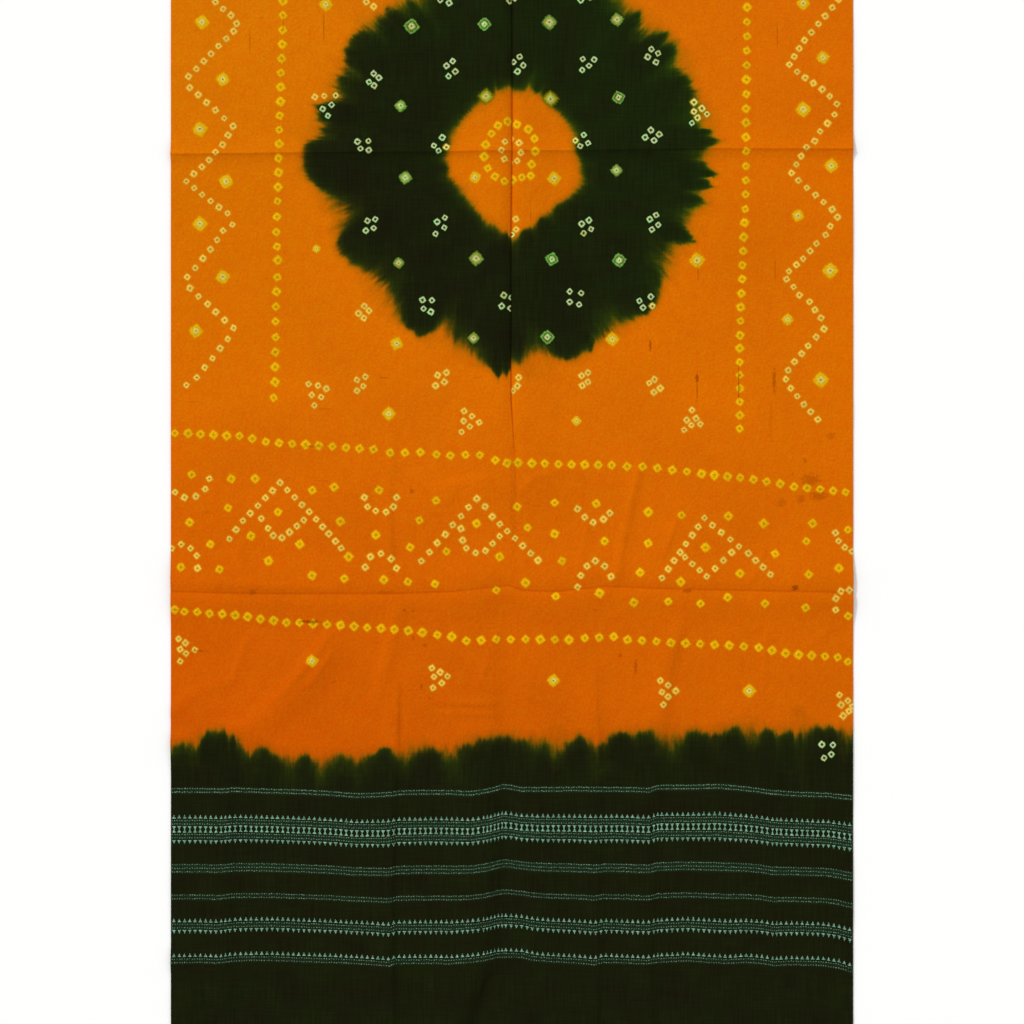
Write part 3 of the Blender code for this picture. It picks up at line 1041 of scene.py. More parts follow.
RAMP_REACH = 1.4  # the distance from a dot's middle that its ramp ends at, in half widths
ROUND, SQUARE = 0.4, 0.48  # the shares of a circle and of a diamond in a dot's outline
SAME = 0.4  # the difference under which two kinds are the same

# What a tied dot looks like from its middle outwards: the needle-fine point of the pinch, the
# cloth that the thread kept undyed, and the edge where the dye crept under the thread
DOT_LOOKS = {
    PALE: shades(
        (0.0, "#96701E", 1), (0.2, "#B08A2E", 1), (0.42, "#E2B244", 1), (0.66, "#ECBE52", 1),
        (0.84, "#DCA032", 1), (0.98, "#CE8810", 0.75), (1.3, "#C47A04", 0),
    ),
    GOLD: shades(
        (0.0, "#A87C00", 1), (0.16, "#BC8A02", 1), (0.34, "#D49E04", 1), (0.62, "#EAAE0A", 1),
        (0.8, "#E4A40A", 1), (0.95, "#D28C04", 0.8), (1.25, "#C87A02", 0),
    ),
    LARGE: shades(
        (0.0, "#9A6E2A", 1), (0.09, "#B48C3E", 1), (0.2, "#DEC466", 1), (0.4, "#D6BC4C", 1),
        (0.56, "#CCA81A", 1), (0.74, "#E2AE0A", 1), (0.88, "#DAA206", 0.95),
        (1.0, "#D29202", 0.55), (1.22, "#CC8000", 0),
    ),
    DotKind.PALE_ON_GREEN: shades(
        (0.0, "#1A220A", 1), (0.28, "#36461A", 1), (0.48, "#AEBE88", 1), (0.66, "#C8D8A8", 1),
        (0.82, "#748E4E", 1), (0.96, "#1C2A0C", 0.9), (1.2, "#10160A", 0.5), (1.38, "#10160A", 0),
    ),
    LARGE_ON_GREEN: shades(
        (0.0, "#3C3820", 1), (0.1, "#7A7444", 1), (0.22, "#CCC892", 1), (0.38, "#B8BC78", 1),
        (0.56, "#90A048", 1), (0.7, "#7E9438", 1), (0.84, "#74903A", 1), (0.96, "#406024", 0.9),
        (1.1, "#142008", 0.7), (1.35, "#10160A", 0),
    ),
    RINGED_ON_GREEN: shades(
        (0.0, "#2A2816", 1), (0.07, "#6A6A44", 1), (0.18, "#CED69E", 1), (0.4, "#A2B666", 1),
        (0.54, "#3E6422", 1), (0.66, "#486E28", 1), (0.8, "#86AC50", 1), (0.9, "#4C7C32", 1),
        (1.02, "#12200A", 0.8), (1.3, "#10160A", 0),
    ),
    LARGE_ON_EDGE: shades(
        (0.0, "#4A4A24", 1), (0.1, "#8A8850", 1), (0.22, "#BEC080", 1), (0.4, "#B4B858", 1),
        (0.6, "#A2A430", 1), (0.8, "#94901A", 0.95), (1.0, "#6E6A0A", 0.75), (1.3, "#5A5404", 0),
    ),
    DotKind.PALE_ON_EDGE: shades(
        (0.0, "#4A3E08", 1), (0.24, "#6E5E14", 1), (0.46, "#D2C468", 1), (0.66, "#E2D886", 1),
        (0.82, "#C4B450", 1), (0.96, "#8C7A10", 0.7), (1.3, "#8A7A08", 0),
    ),
}  # fmt: skip

DOT_TINTS = shades((0.02, "#FFF4BE"), (0.12, "#FFF7D8"), (0.5, "#FFFFFF"), (0.95, "#D8FFE4"))

# How the green bath shades from its fringe inwards, by depth in millimetres
DYE_START = -15.0
DYE_END = 41.0
DYE_DEPTHS = shades(
    (-15.0, "#6E4C02", 0), (-10.5, "#6E4C02", 0.09), (-7.0, "#6E4C02", 0.19),
    (-4.5, "#685002", 0.37), (-2.5, "#5C5004", 0.66), (0.3, "#3E4006", 0.95), (3.2, "#283008", 1),
    (6.5, "#202708", 1), (10.0, "#1D2208", 1), (18.0, "#191D08", 1), (40.0, "#181B08", 1),
)  # fmt: skip

# The orange bath, along the cloth from its end border to its medallion
GROUND = shades(
    (-230.0, "#CC5A00"), (-90.0, "#D26000"), (20.0, "#D56500"), (120.0, "#D86B00"),
    (300.0, "#D66C00"), (470.0, "#D76E01"),
)  # fmt: skip

MEDALLION_REACH = 192.0  # the middle radius of each edge, where its fingers have their width
WINDOW_REACH = 66.0
CRINKLE_HEIGHT = 0.3  # from the lowest to the highest, which few of them reach
CRINKLE_LEAN = math.radians(18)
PUCKER_HEIGHT = 0.45


class Band(NamedTuple):
    """A stripe's band of the end border, by its pick heights at the left selvedge."""

    top: float
    bottom: float
    cover: float  # how much its hidden yarns colour the cloth


BANDS = tuple(
    Band(*row)
    for row in (
        (-265.4, -270.4, 0.34), (-296.2, -301.4, 0.44), (-309.6, -314.6, 0.44),
        (-338.8, -346.8, 0.36), (-367.8, -372.4, 0.28), (-395.8, -400.8, 0.38),
        (-429.1, -433.9, 0.28),
    )
)  # fmt: skip
BAND_FADE = 1.0
BAND_COLOUR = linear("#1C3A28")

# How far the painted shade of the pressed lines reaches to either side, and where the tuck's shade
# parts towards its end
CREASE_SHADE_REACH = 4.0
TUCK_OPENS = ((-90.0, 1.45), (50.0, 0.95), (110.0, 0.0))  # height, and its sides' distance

# Painted shade along the tuck, the upper and the lower crease: what each multiplies the colour by,
# from below or left of the line to above or right of it
CREASE_SHADE_TONES = (
    shades((-1.4, "#FFFFFF"), (-0.5, "#DCC0AC"), (0.4, "#D2AE9A"), (1.3, "#FFFFFF")),
    shades((-2.6, "#FFFFFF"), (-1.3, "#F8F2F0"), (-0.2, "#FFFFFF")),
    shades((-1.6, "#FFFFFF"), (-0.4, "#EEE2DC"), (0.5, "#F2EAE6"), (1.5, "#FFFFFF")),
)


class TiedCotton(Nodes):
    """Plain-woven cotton lawn, tied in pinches and dipped in yellow, orange and green.

    The green has crept outwards along the threads, which gives it its combed edge. Each face of
    the mesh carries the dots beside it in their own measure, so they stay as sharp as the ties.
    """

    ROUGHNESS = 0.88  # fibre ends scatter nearly all of the light
    IOR = 1.53  # cellulose
    SPECULAR = 0.02  # hardly any of it comes back from one flat face

    def __init__(self) -> None:
        """Start the material."""
        super().__init__("tied_and_dyed_cotton_lawn")

    def ground(self) -> bpy.types.Node:
        """Add the orange, a little redder towards the border and cloudy all over."""
        x, y, _ = self.add(SPLIT, {0: self.place}).outputs
        orange = self.ramp(y, GROUND, -LENGTH / 2, LENGTH / 2)
        tone = self.grain((95, 70), 0.91, 1.0, 3)
        # the real threads are 0.35 mm apart, too fine for one map, so slubs of the warp and of
        # the weft stand in for them, with lint over them
        for size, most in (((1.3, 26), 0.015), ((24, 1.3), 0.015), ((2.1, 2.4), 0.06)):
            layer = self.grain(size, 1 - most, 1 + most)
            tone = self.add(MATH, {0: tone, 1: layer}, operation="MULTIPLY")
        toned = self.add(VECTOR, {0: orange, "Scale": tone}, operation="SCALE")
        # the yellow under the orange took unevenly, in flecks and in patches, and less of it at
        # the top right and the lower left than at the other two corners
        raised = self.add(MATH, {0: y, 1: 100.0}, operation="SUBTRACT")
        corner = self.add(MATH, {0: x, 1: raised}, operation="MULTIPLY")
        ends = {"From Min": -1e5, "From Max": 1e5, "To Min": 1.1, "To Max": 0.9}
        yellow = self.grain((2.3, 2.3), 0.86, 1.14)
        for layer in (self.grain((9, 11), 0.93, 1.07), self.add(SPREAD, {"Value": corner, **ends})):
            yellow = self.add(MATH, {0: yellow, 1: layer}, operation="MULTIPLY")
        uneven = self.add(JOIN, {0: 1.0, 1: yellow, 2: 1.0})
        return self.add(VECTOR, {0: toned, 1: uneven}, operation="MULTIPLY")

    def fringe(self, centre: Spot, radius: float, width: float, length: float) -> bpy.types.Node:
        """Add the fingers that dye makes as it creeps away from a centre.

        Args:
            centre: The point that they point away from.
            radius: How far from the centre they have their width.
            width: The width of one finger.
            length: The length of one finger.

        Returns:
            A value between -1 and 1.
        """
        away = self.add(VECTOR, {0: self.place, 1: (*centre, 0)}, operation="SUBTRACT")
        flat = self.add(VECTOR, {0: away, 1: FLAT}, operation="MULTIPLY")
        way = self.add(SPLIT, {0: self.add(VECTOR, {0: flat}, operation="NORMALIZE")}).outputs
        reach = self.add(VECTOR, {0: flat}, operation="LENGTH")
        polar = self.add(JOIN, {0: way[0], 1: way[1], 2: reach})
        return self.grain((width / radius, width / radius, length), -1, 1, at=polar)

    def depth(self) -> bpy.types.Node:
        """Add how deep each place lies in the green in millimetres, with the dye's creep."""
        inside, outside, below = self.add(SPLIT, {0: self.carried("dye")}).outputs
        rim, window = (MEDALLION_CENTRE, MEDALLION_REACH), (WINDOW_CENTRE, WINDOW_REACH)
        edges = (
            # the drawn depth, how much faster it deepens, and its fingers with their reach
            (inside, 1.0, ((self.fringe(*rim, 6.5, 22), 2.4), (self.fringe(*rim, 2.4, 9), 0.9))),
            (outside, 1.45,
             ((self.fringe(*window, 3.4, 12), 0.8), (self.fringe(*window, 1.5, 6), 0.4))),
            (below, 1.0, ((self.grain((7, 20), -1, 1), 2.6), (self.grain((2.4, 9), -1, 1), 1.0))),
        )  # fmt: skip
        crept = []
        for depth, rate, fingers in edges:
            for finger, reach in fingers:
                depth = self.add(MATH, {0: finger, 1: reach, 2: depth}, operation="MULTIPLY_ADD")
            crept.append(self.add(MATH, {0: depth, 1: rate}, operation="MULTIPLY"))
        ring = self.add(MATH, {0: crept[0], 1: crept[1]}, operation="MINIMUM")
        both = self.add(MATH, {0: ring, 1: crept[2]}, operation="MAXIMUM")
        patches = self.grain((30, 34), 0.5, 1.6, 3)
        return self.add(MATH, {0: both, 1: patches}, operation="MULTIPLY")

    def overdye(self, depth: Any, ground: Any) -> bpy.types.Node:
        """Lay the green bath over the ground.

        Args:
            depth: How deep each place lies in the green.
            ground: The colour under it.

        Returns:
            The colour.
        """
        bath = self.ramp(depth, DYE_DEPTHS, DYE_START, DYE_END)
        warp, weft = self.grain((1.6, 34), 0.78, 1.12), self.grain((28, 1.8), 0.88, 1.12)
        tone = self.add(MATH, {0: warp, 1: weft}, operation="MULTIPLY")
        # fresher green towards the medallion's upper right, where the bath was weaker
        way = self.add(VECTOR, {0: self.place, 1: (0.75, 0.65, 0)}, operation="DOT_PRODUCT")
        ends = {"From Min": 90.0, "From Max": 350.0, "To Min": 0.95, "To Max": 1.35}
        fresh, patches = self.add(SPREAD, {"Value": way, **ends}), self.grain((34, 30), 0.85, 1.2)
        green = self.add(MATH, {0: fresh, 1: patches}, operation="MULTIPLY")
        tint = self.add(JOIN, {0: 1.0, 1: green, 2: 1.0})
        tinted = self.add(VECTOR, {0: bath, 1: tint}, operation="MULTIPLY")
        toned = self.add(VECTOR, {0: tinted, "Scale": tone}, operation="SCALE")
        mixed = {0: bath.outputs["Alpha"], UNDER: ground, OVER: toned}
        return self.add(MIX, mixed, data_type="RGBA")

    def greened_bands(self, colour: Any) -> bpy.types.Node:
        """Lift a colour between the floats, where the extra yarns run under the cloth's own."""
        level = self.add(SPLIT, {0: self.carried("pick")}).outputs["Y"]
        stops = []
        for band in BANDS:
            stops += [(band.top + BAND_FADE, grey(0.0)), (band.top, grey(band.cover))]
            stops += [(band.bottom, grey(band.cover)), (band.bottom - BAND_FADE, grey(0.0))]
        bands = self.ramp(level, stops, stops[0][0], stops[-1][0])
        threads = self.grain((2.2, 1.5), 0.2, 1.8)
        cover = self.add(MATH, {0: bands, 1: threads}, operation="MULTIPLY")
        return self.add(MIX, {0: cover, UNDER: colour, OVER: BAND_COLOUR}, data_type="RGBA")

    def nearest_dot(self) -> bpy.types.Node:
        """Give the place in the measure of the nearer dot of each face, with its kind and seed."""
        near, following = self.carried("dot_near"), self.carried("dot_next")
        spans = {0: self.across_cloth(following), 1: self.across_cloth(near)}
        closer = self.add(MATH, spans, operation="LESS_THAN")
        return self.add(MIX, {0: closer, 4: near, 5: following}, data_type="VECTOR")

    def dots(self, colour: Any) -> tuple[bpy.types.Node, bpy.types.Node]:
        """Lay the tied dots over the dyes.

        Args:
            colour: The dyed colour.

        Returns:
            The colour, and the distance from the dot's middle as a share of its ramp.
        """
        chosen = self.nearest_dot()
        code = self.add(SPLIT, {0: chosen}).outputs[2]
        kind = self.add(MATH, {0: code}, operation="FLOOR")
        seed = self.add(MATH, {0: code}, operation="FRACT")
        # halfway between a circle and a diamond, as the bias of the weave pulls a pinch
        sizes = self.add(VECTOR, {0: chosen}, operation="ABSOLUTE")
        squarely = self.add(VECTOR, {0: sizes, 1: (SQUARE, SQUARE, 0)}, operation="DOT_PRODUCT")
        lengths = {0: self.across_cloth(chosen), 1: ROUND, 2: squarely}
        diamond = self.add(MATH, lengths, operation="MULTIPLY_ADD")
        fibres = self.grain((2.1, 2.1), -0.11, 0.11)
        ragged = self.add(MATH, {0: diamond, 1: fibres}, operation="ADD")
        reach = self.add(MATH, {0: ragged, 1: RAMP_REACH}, operation="DIVIDE")
        look, cover = grey(0.0), 0.0
        for named, stops in DOT_LOOKS.items():
            ramp = self.ramp(reach, [(at / RAMP_REACH, shade) for at, shade in stops])
            is_it = self.add(MATH, {0: kind, 1: float(named.value), 2: SAME}, operation="COMPARE")
            look = self.add(MIX, {0: is_it, UNDER: look, OVER: ramp}, data_type="RGBA")
            covers = {0: is_it, 2: cover, 3: ramp.outputs["Alpha"]}
            cover = self.add(MIX, covers, data_type="FLOAT")
        flecks = self.grain((1.9, 1.9), 0.74, 1.04)
        bright = self.add(MATH, {0: seed, 1: 0.2, 2: flecks}, operation="MULTIPLY_ADD")
        lit = self.add(VECTOR, {0: look, "Scale": bright}, operation="SCALE")
        # some ties let a little green in, others kept more of the yellow
        patches = self.grain((6, 6), -0.2, 0.6)
        turned = self.add(MATH, {0: seed, 1: 0.6, 2: patches}, operation="MULTIPLY_ADD")
        kinds = {"From Min": float(LARGE.value), "From Max": float(DotKind.PALE_ON_GREEN.value)}
        in_green = self.add(SPREAD, {"Value": kind, **kinds, "To Min": 0.3, "To Max": 1.0})
        tints = {0: in_green, UNDER: lit, OVER: self.ramp(turned, DOT_TINTS)}
        varied = self.add(MIX, tints, data_type="RGBA", blend_type="MULTIPLY")
        return self.add(MIX, {0: cover, UNDER: colour, OVER: varied}, data_type="RGBA"), reach

    def creases(self, colour: Any) -> Any:
        """Darken a colour along the pressed lines with painted shade, where the tuck and the
        creases fold in.
        """
        offsets = self.add(SPLIT, {0: self.carried("lines")}).outputs
        # painted shade of the tuck, then of the upper and of the lower crease
        for offset, shade_tones in zip(offsets, CREASE_SHADE_TONES):
            tone = self.ramp(offset, shade_tones, -CREASE_SHADE_REACH, CREASE_SHADE_REACH)
            layers = {0: 1.0, UNDER: colour, OVER: tone}
            colour = self.add(MIX, layers, data_type="RGBA", blend_type="MULTIPLY")
        return colour

    def blemishes(self, colour: Any) -> bpy.types.Node:
        """Lay the slubs and stains over a colour."""
        mark = self.carried("mark")
        strength = self.add(SPLIT, {0: mark}).outputs[2]
        threads = self.grain((2.4, 2.4), -0.42, 0.42)
        ragged = self.add(MATH, {0: self.across_cloth(mark), 1: threads}, operation="ADD")
        ends = {"From Min": 0.45, "From Max": 1.15, "To Min": strength, "To Max": 0.0}
        cover = self.add(SPREAD, {"Value": ragged, **ends}, interpolation_type="SMOOTHSTEP")
        return self.add(MIX, {0: cover, UNDER: colour, OVER: BLEMISH_COLOUR}, data_type="RGBA")

    def relief(self, reach: bpy.types.Node) -> bpy.types.Node:
        """Add the fine height of puckers, threads and crinkles.

        Args:
            reach: The distance from the nearest dot's middle, as a share of its ramp.

        Returns:
            The normal.
        """
        heights = ((0.0, 0.3), (0.12, 1.0), (0.42, 0.8), (0.72, 0.1), (0.86, 0.0))
        dome = self.ramp(reach, [(at, grey(height)) for at, height in heights])
        warp, weft = self.grain((0.9, 16), 0, 0.12), self.grain((16, 0.9), 0, 0.12)
        threads = self.add(MATH, {0: warp, 1: weft}, operation="ADD")
        height = self.add(MATH, {0: dome, 1: 0.8, 2: threads}, operation="MULTIPLY_ADD")
        # crinkles that lean a little to the right, as the hands left them in the wet cloth
        turn = {"Vector": self.place, "Angle": CRINKLE_LEAN}
        leaning = self.add("ShaderNodeVectorRotate", turn, rotation_type="Z_AXIS")
        crinkles = self.grain((5, 9), 0, 1, 3, leaning)
        tall = {"Distance": CRINKLE_HEIGHT * MM, "Height": crinkles}
        crushed = self.add(BUMP, {"Strength": 1.0, **tall})
        low = {"Distance": PUCKER_HEIGHT * MM, "Height": height}
        return self.add(BUMP, {"Strength": 0.6, **low, "Normal": crushed})

    def build(self) -> bpy.types.Material:
        """Make the material."""
        colour = self.greened_bands(self.overdye(self.depth(), self.ground()))
        colour, reach = self.dots(colour)
        # the colour with its slubs and stains, then with painted shade along the tuck and the
        # creases
        surface = {"Base Color": self.creases(self.blemishes(colour)), "Metallic": 0.0}
        surface |= {"Normal": self.relief(reach), "Roughness": self.ROUGHNESS}
        return self.finished(surface | {"IOR": self.IOR, "Specular IOR Level": self.SPECULAR})


@dataclass(frozen=True)
class WeftYarn:
    """A twisted filament yarn laid in as an extra weft, a little glossy, greened by the bath."""

    name: str
    colour: str
    shade: str  # in the gaps between its plies
    roughness: float
    twist: float = 0.9  # length of one turn; the real 0.4 mm is too fine to show here

    def build(self) -> bpy.types.Material:
        """Make the material."""
        nodes = Nodes(self.name)
        layers = {0: nodes.grain((self.twist, self.twist / 2), 0, 1)}
        layers[1] = nodes.grain((3.2, 1.8), -0.6, 0.5)
        mixed = nodes.add(MATH, layers, operation="ADD", use_clamp=True)
        colours = {UNDER: linear(self.shade), OVER: linear(self.colour)}
        surface = {"Base Color": nodes.add(MIX, {0: mixed, **colours}, data_type="RGBA")}
        surface |= {"Roughness": self.roughness, "IOR": 1.52, "Specular IOR Level": 0.3}
        return nodes.finished(surface)


BRIGHT_YARN = WeftYarn("viscose_weft_pale_in_green_bath", "#B8EED0", "#58967A", 0.55)
DULL_YARN = WeftYarn("cotton_weft_deep_in_green_bath", "#84A07E", "#2E4A3A", 0.8)


# ---------------------------------------------------------------- the dyed web

WIDEST = 4  # the size of the widest cells, in steps of the lattice


def tuck_at(heights: np.ndarray) -> np.ndarray:
    """Read how far right the tuck lies at some heights."""
    return across_line([(y, x) for x, y in CENTRE_TUCK], heights)


@dataclass(frozen=True)
class Lattice:
    """The finest grid of the web, laid so that its lines follow the tuck and the creases."""

    step: float = 2.0
    pull: float = 60.0  # how far from a crease its drift still bends the grid

    @property
    def cells(self) -> tuple[int, int]:
        """Count the cells across and along the web."""
        return round(WIDTH / self.step), round(LENGTH / self.step)

    def spots(self, cells: np.ndarray) -> np.ndarray:
        """Place points of the lattice on the cloth.

        Args:
            cells: Column and row of each point, not always whole.

        Returns:
            X and Y of each, in millimetres.
        """
        flat = cells * self.step - np.array([WIDTH / 2, LENGTH / 2])
        moved = flat.copy()
        moved[:, 0] += tuck_at(flat[:, 1]) * eased(1 - np.abs(flat[:, 0]) / self.pull)
        for crease in (UPPER_CREASE, LOWER_CREASE):
            coarse = self.step * WIDEST
            height = np.array(crease, float)[:, 1].mean()
            row = coarse * round((height + LENGTH / 2) / coarse) - LENGTH / 2
            drift = across_line(crease, flat[:, 0]) - row
            moved[:, 1] += drift * eased(1 - np.abs(flat[:, 1] - row) / self.pull)
        return moved


def around(wide: int, tall: int) -> list[tuple[int, int]]:
    """Walk round a rectangle of the lattice from its low corner, anticlockwise.

    Args:
        wide: Its size along X.
        tall: Its size along Y.

    Returns:
        Column and row of every point on the way.
    """
    there = [(at, 0) for at in range(wide)] + [(wide, at) for at in range(tall)]
    return there + [(wide - x, tall - y) for x, y in there]


@dataclass
class Layer:
    """One face of the web, as cells that halve where they are wanted finer."""

    lattice: Lattice
    cells: list[tuple[np.ndarray, int]]  # the low corner and the size of each leaf

    @classmethod
    def split(cls, lattice: Lattice, *wanted: Reader) -> "Layer":
        """Halve the widest cells step by step.

        Args:
            lattice: The grid of the finest cells.
            wanted: For each halving, the test of which places get it.

        Returns:
            The layer.
        """
        size = WIDEST
        columns, rows = lattice.cells
        low = np.array([(i, j) for i in range(0, columns, size) for j in range(0, rows, size)])
        cells = []
        for test in wanted:
            chosen = test(lattice.spots(low + size / 2))
            cells.append((low[~chosen], size))
            size //= 2
            steps = np.array([(0, 0), (size, 0), (0, size), (size, size)])
            low = (low[chosen][:, None] + steps).reshape(-1, 2)
        return cls(lattice, [*cells, (low, size)])

    def corners(self) -> np.ndarray:
        """Mark the points of the lattice that are the corner of some cell."""
        used = np.zeros([count + 1 for count in self.lattice.cells], bool)
        for low, size in self.cells:
            for right, up in ((0, 0), (size, 0), (0, size), (size, size)):
                used[low[:, 0] + right, low[:, 1] + up] = True
        return used

    def rings(self, used: np.ndarray) -> tuple[np.ndarray, np.ndarray]:
        """Walk round every cell through all marked points on its edge.

        Args:
            used: The marked points of the lattice.

        Returns:
            Column and row of every face corner in order, and the number of corners of each face.
        """
        loops, totals = [], []
        for low, size in self.cells:
            points = low[:, None] + np.array(around(size, size))
            kept = used[points[..., 0], points[..., 1]]
            loops.append(points[kept])
            totals.append(kept.sum(axis=1))
        return np.vstack(loops), np.concatenate(totals)


@dataclass(frozen=True)
class Faces:
    """The corners of every face of the web: those on top, then those underneath, then the rim."""

    spots: np.ndarray  # the place of each corner
    vertices: np.ndarray  # the vertex of each corner
    totals: np.ndarray  # the number of corners of each face
    top: int  # the number of faces on top
    back: int  # and underneath


ATLAS = 1024.0  # width of the colour map, at one point a millimetre
TOP_CORNER = (4.0, 12.0)
BACK_CORNER = (671.0, 10.0)
BACK_SCALE = 0.5
RIM_CORNER = (676.0, 563.0)
RIM_RUN = 320.0  # length of the rim that stands in one row of the map
RIM_ROW = 6.0


@dataclass(frozen=True)
class Web:
    """The cloth itself: an upper face with its puckers, an underside and a rim."""

    relief: Relief
    dye: DyeField
    dots: DotField
    finish: TiedCotton
    lattice: Lattice = Lattice()
    thickness: float = 0.8
    border: float = -260.0  # the height under which the end border needs small cells
    dye_edge: float = 9.0  # how far to either side of an edge the green shades off
    mark_margin: float = 4.0  # how far a face may lie beside the mark that it carries
    sharpest: float = 48.0  # the angle between two faces from which the edge looks sharp
    tuck_half: float = 0.5  # how near to the tuck a corner counts as lying on it
    parting: float = 1.2  # how far beside the tuck such a corner reads its dye

    def is_detailed(self, spots: np.ndarray) -> np.ndarray:
        """Find where the upper face needs cells of 4 mm: flanks, dye edges, dots and stripes."""
        found = self.relief.near_a_crest(spots, reach=26, steep=0.12)
        found |= self.near_a_dot(spots, margin=6.5)
        found |= (np.abs(self.dye.depths(spots)) < self.dye_edge).any(axis=1)
        return found | (spots[:, 1] < self.border)

    def is_finest(self, spots: np.ndarray) -> np.ndarray:
        """Find where the upper face needs cells of 2 mm: on dots and along crests."""
        on_a_dot = self.near_a_dot(spots, margin=1.6)
        return on_a_dot | self.relief.near_a_crest(spots, reach=5, steep=0.2)

    def near_a_dot(self, spots: np.ndarray, margin: float = 3.0) -> np.ndarray:
        """Find spots on or just beside a dot.

        Args:
            spots: Places on the cloth, one row each.
            margin: How far beside it still counts.

        Returns:
            True for each such spot.
        """
        dots = self.dots.dots
        tree = search_tree([(dot.x, dot.y) for dot in dots])
        found = [tree.find((x, y, 0)) for x, y in spots]
        return np.array([gap < dots[which].half + margin for _, which, gap in found])

    def line_offsets(self, spots: np.ndarray, sides: np.ndarray) -> np.ndarray:
        """Measure how far spots lie from the three pressed lines, along which shade is painted.

        Args:
            spots: Places on the cloth, one row each.
            sides: The side of the tuck that each spot's face is on, -1 or 1.

        Returns:
            Three columns in millimetres: right of the tuck, above the upper crease and above the
            lower one. Where the tuck opens out towards its end, its column grows instead.
        """
        x, y = spots.T
        columns = [x - tuck_at(y) + sides * across_line(TUCK_OPENS, y)]
        columns += [y - across_line(crease, x) for crease in (UPPER_CREASE, LOWER_CREASE)]
        return np.column_stack(columns)

    def pick_levels(self, spots: np.ndarray) -> np.ndarray:
        """Follow the pick under each spot to the left selvedge.

        Args:
            spots: Places on the cloth, one row each.

        Returns:
            Three columns, of which the second is the height of the pick there.
        """
        level = spots[:, 1]
        for _ in range(2):
            level = spots[:, 1] - weft_lift(spots[:, 0], level)
        return np.column_stack([spots[:, 0], level, np.zeros(len(spots))])

    def marks(self, spots: np.ndarray, faces: np.ndarray, centres: np.ndarray) -> np.ndarray:
        """Give each face corner its place in the measure of a blemish.

        Args:
            spots: The place of every face corner.
            faces: The face of every corner.
            centres: The middle of each face.

        Returns:
            Two lengths in half widths, and the strength.
        """
        owner = np.full(len(centres), -1)
        nearest = np.full(len(centres), np.inf)
        for at, mark in enumerate(BLEMISHES):
            reach = np.array([mark.across, mark.along]) * 1.5 + self.mark_margin
            share = (np.abs(centres - (mark.x, mark.y)) / reach).max(axis=1)
            closer = (share < 1) & (share < nearest)
            owner[closer], nearest[closer] = at, share[closer]
        owner = owner[faces]
        table = np.array(BLEMISHES)[owner]
        found = np.column_stack([(spots - table[:, :2]) / table[:, 2:4], table[:, 4]])
        found[owner < 0] = NOWHERE
        return found

    def rim(self, top: np.ndarray, back: np.ndarray) -> Iterable[tuple[list[Spot], list[Spot]]]:
        """List the rim's faces, one for each of the widest cells round the edge.

        Args:
            top: The marked points of the upper face.
            back: The marked points of the underside.

        Returns:
            For each face its lower points from start to end, and its upper ones back again.
        """
        walk = around(*self.lattice.cells)
        for start in range(0, len(walk), WIDEST):
            run = [walk[(start + at) % len(walk)] for at in range(WIDEST + 1)]
            yield [spot for spot in run if back[spot]], [spot for spot in run[::-1] if top[spot]]

    def build(self) -> bpy.types.Object:
        """Make the web and give every face its dye, its dots and its marks."""
        upper = Layer.split(self.lattice, self.is_detailed, self.is_finest)
        lower = Layer.split(self.lattice, self.near_a_dot)
        used = [upper.corners(), lower.corners()]
        numbers, sheets, count = [], [], 0
        for marked in used:
            number = np.full(marked.shape, -1)
            number[marked] = np.arange(marked.sum()) + count
            count += marked.sum()
            numbers.append(number)
            flat = self.lattice.spots(np.argwhere(marked).astype(float))
            sheets.append(np.column_stack([flat, self.relief.heights(flat)]))
        sheets[0][:, 2] += self.thickness
        sheets[0][:, 2] += self.dots.pucker(sheets[0][:, :2])
        points = np.vstack(sheets)

        top_loops, top_totals = upper.rings(used[0])
        back_loops, back_totals = lower.rings(used[1])
        # the underside's faces run the other way round, so each ring is turned about
        starts = np.cumsum(back_totals) - back_totals
        turned = [np.arange(s + t - 1, s - 1, -1) for s, t in zip(starts, back_totals)]
        rings = [numbers[0][tuple(top_loops.T)]]
        rings.append(numbers[1][tuple(back_loops[np.concatenate(turned)].T)])
        rim = [
            [numbers[1][spot] for spot in below] + [numbers[0][spot] for spot in above]
            for below, above in self.rim(*used)
        ]
        vertices = np.concatenate(rings + rim)
        totals = np.concatenate([top_totals, back_totals, [len(ring) for ring in rim]])
        counts = len(top_totals), len(back_totals)
        faces = Faces(points[vertices, :2], vertices, totals, *counts)

        mesh = bpy.data.meshes.new("bandhani_web")
        rings = [ring.tolist() for ring in np.split(vertices, np.cumsum(totals)[:-1])]
        mesh.from_pydata((points * MM).tolist(), [], rings)
        self.dress(mesh, faces)
        self.lay_out(mesh, faces)
        mesh.shade_smooth()
        mesh.set_sharp_from_angle(angle=math.radians(self.sharpest))
        mesh.materials.append(self.finish.build())
        return add_object("bandhani_web", mesh)

    def dress(self, mesh: bpy.types.Mesh, faces: Faces) -> None:
        """Store what the finish reads.

        Args:
            mesh: The web's mesh.
            faces: Its faces.
        """
        spots, totals = faces.spots, faces.totals
        starts = np.cumsum(totals) - totals
        owners = np.repeat(np.arange(len(totals)), totals)
        centres = np.add.reduceat(spots, starts) / totals[:, None]
        spans = np.maximum.reduceat(np.hypot(*(spots - centres[owners]).T), starts)
        sides = np.where(centres[:, 0] - tuck_at(centres[:, 1]) < 0, -1, 1)
        near, following = self.dots.nearest(centres, sides, spans)[owners].T
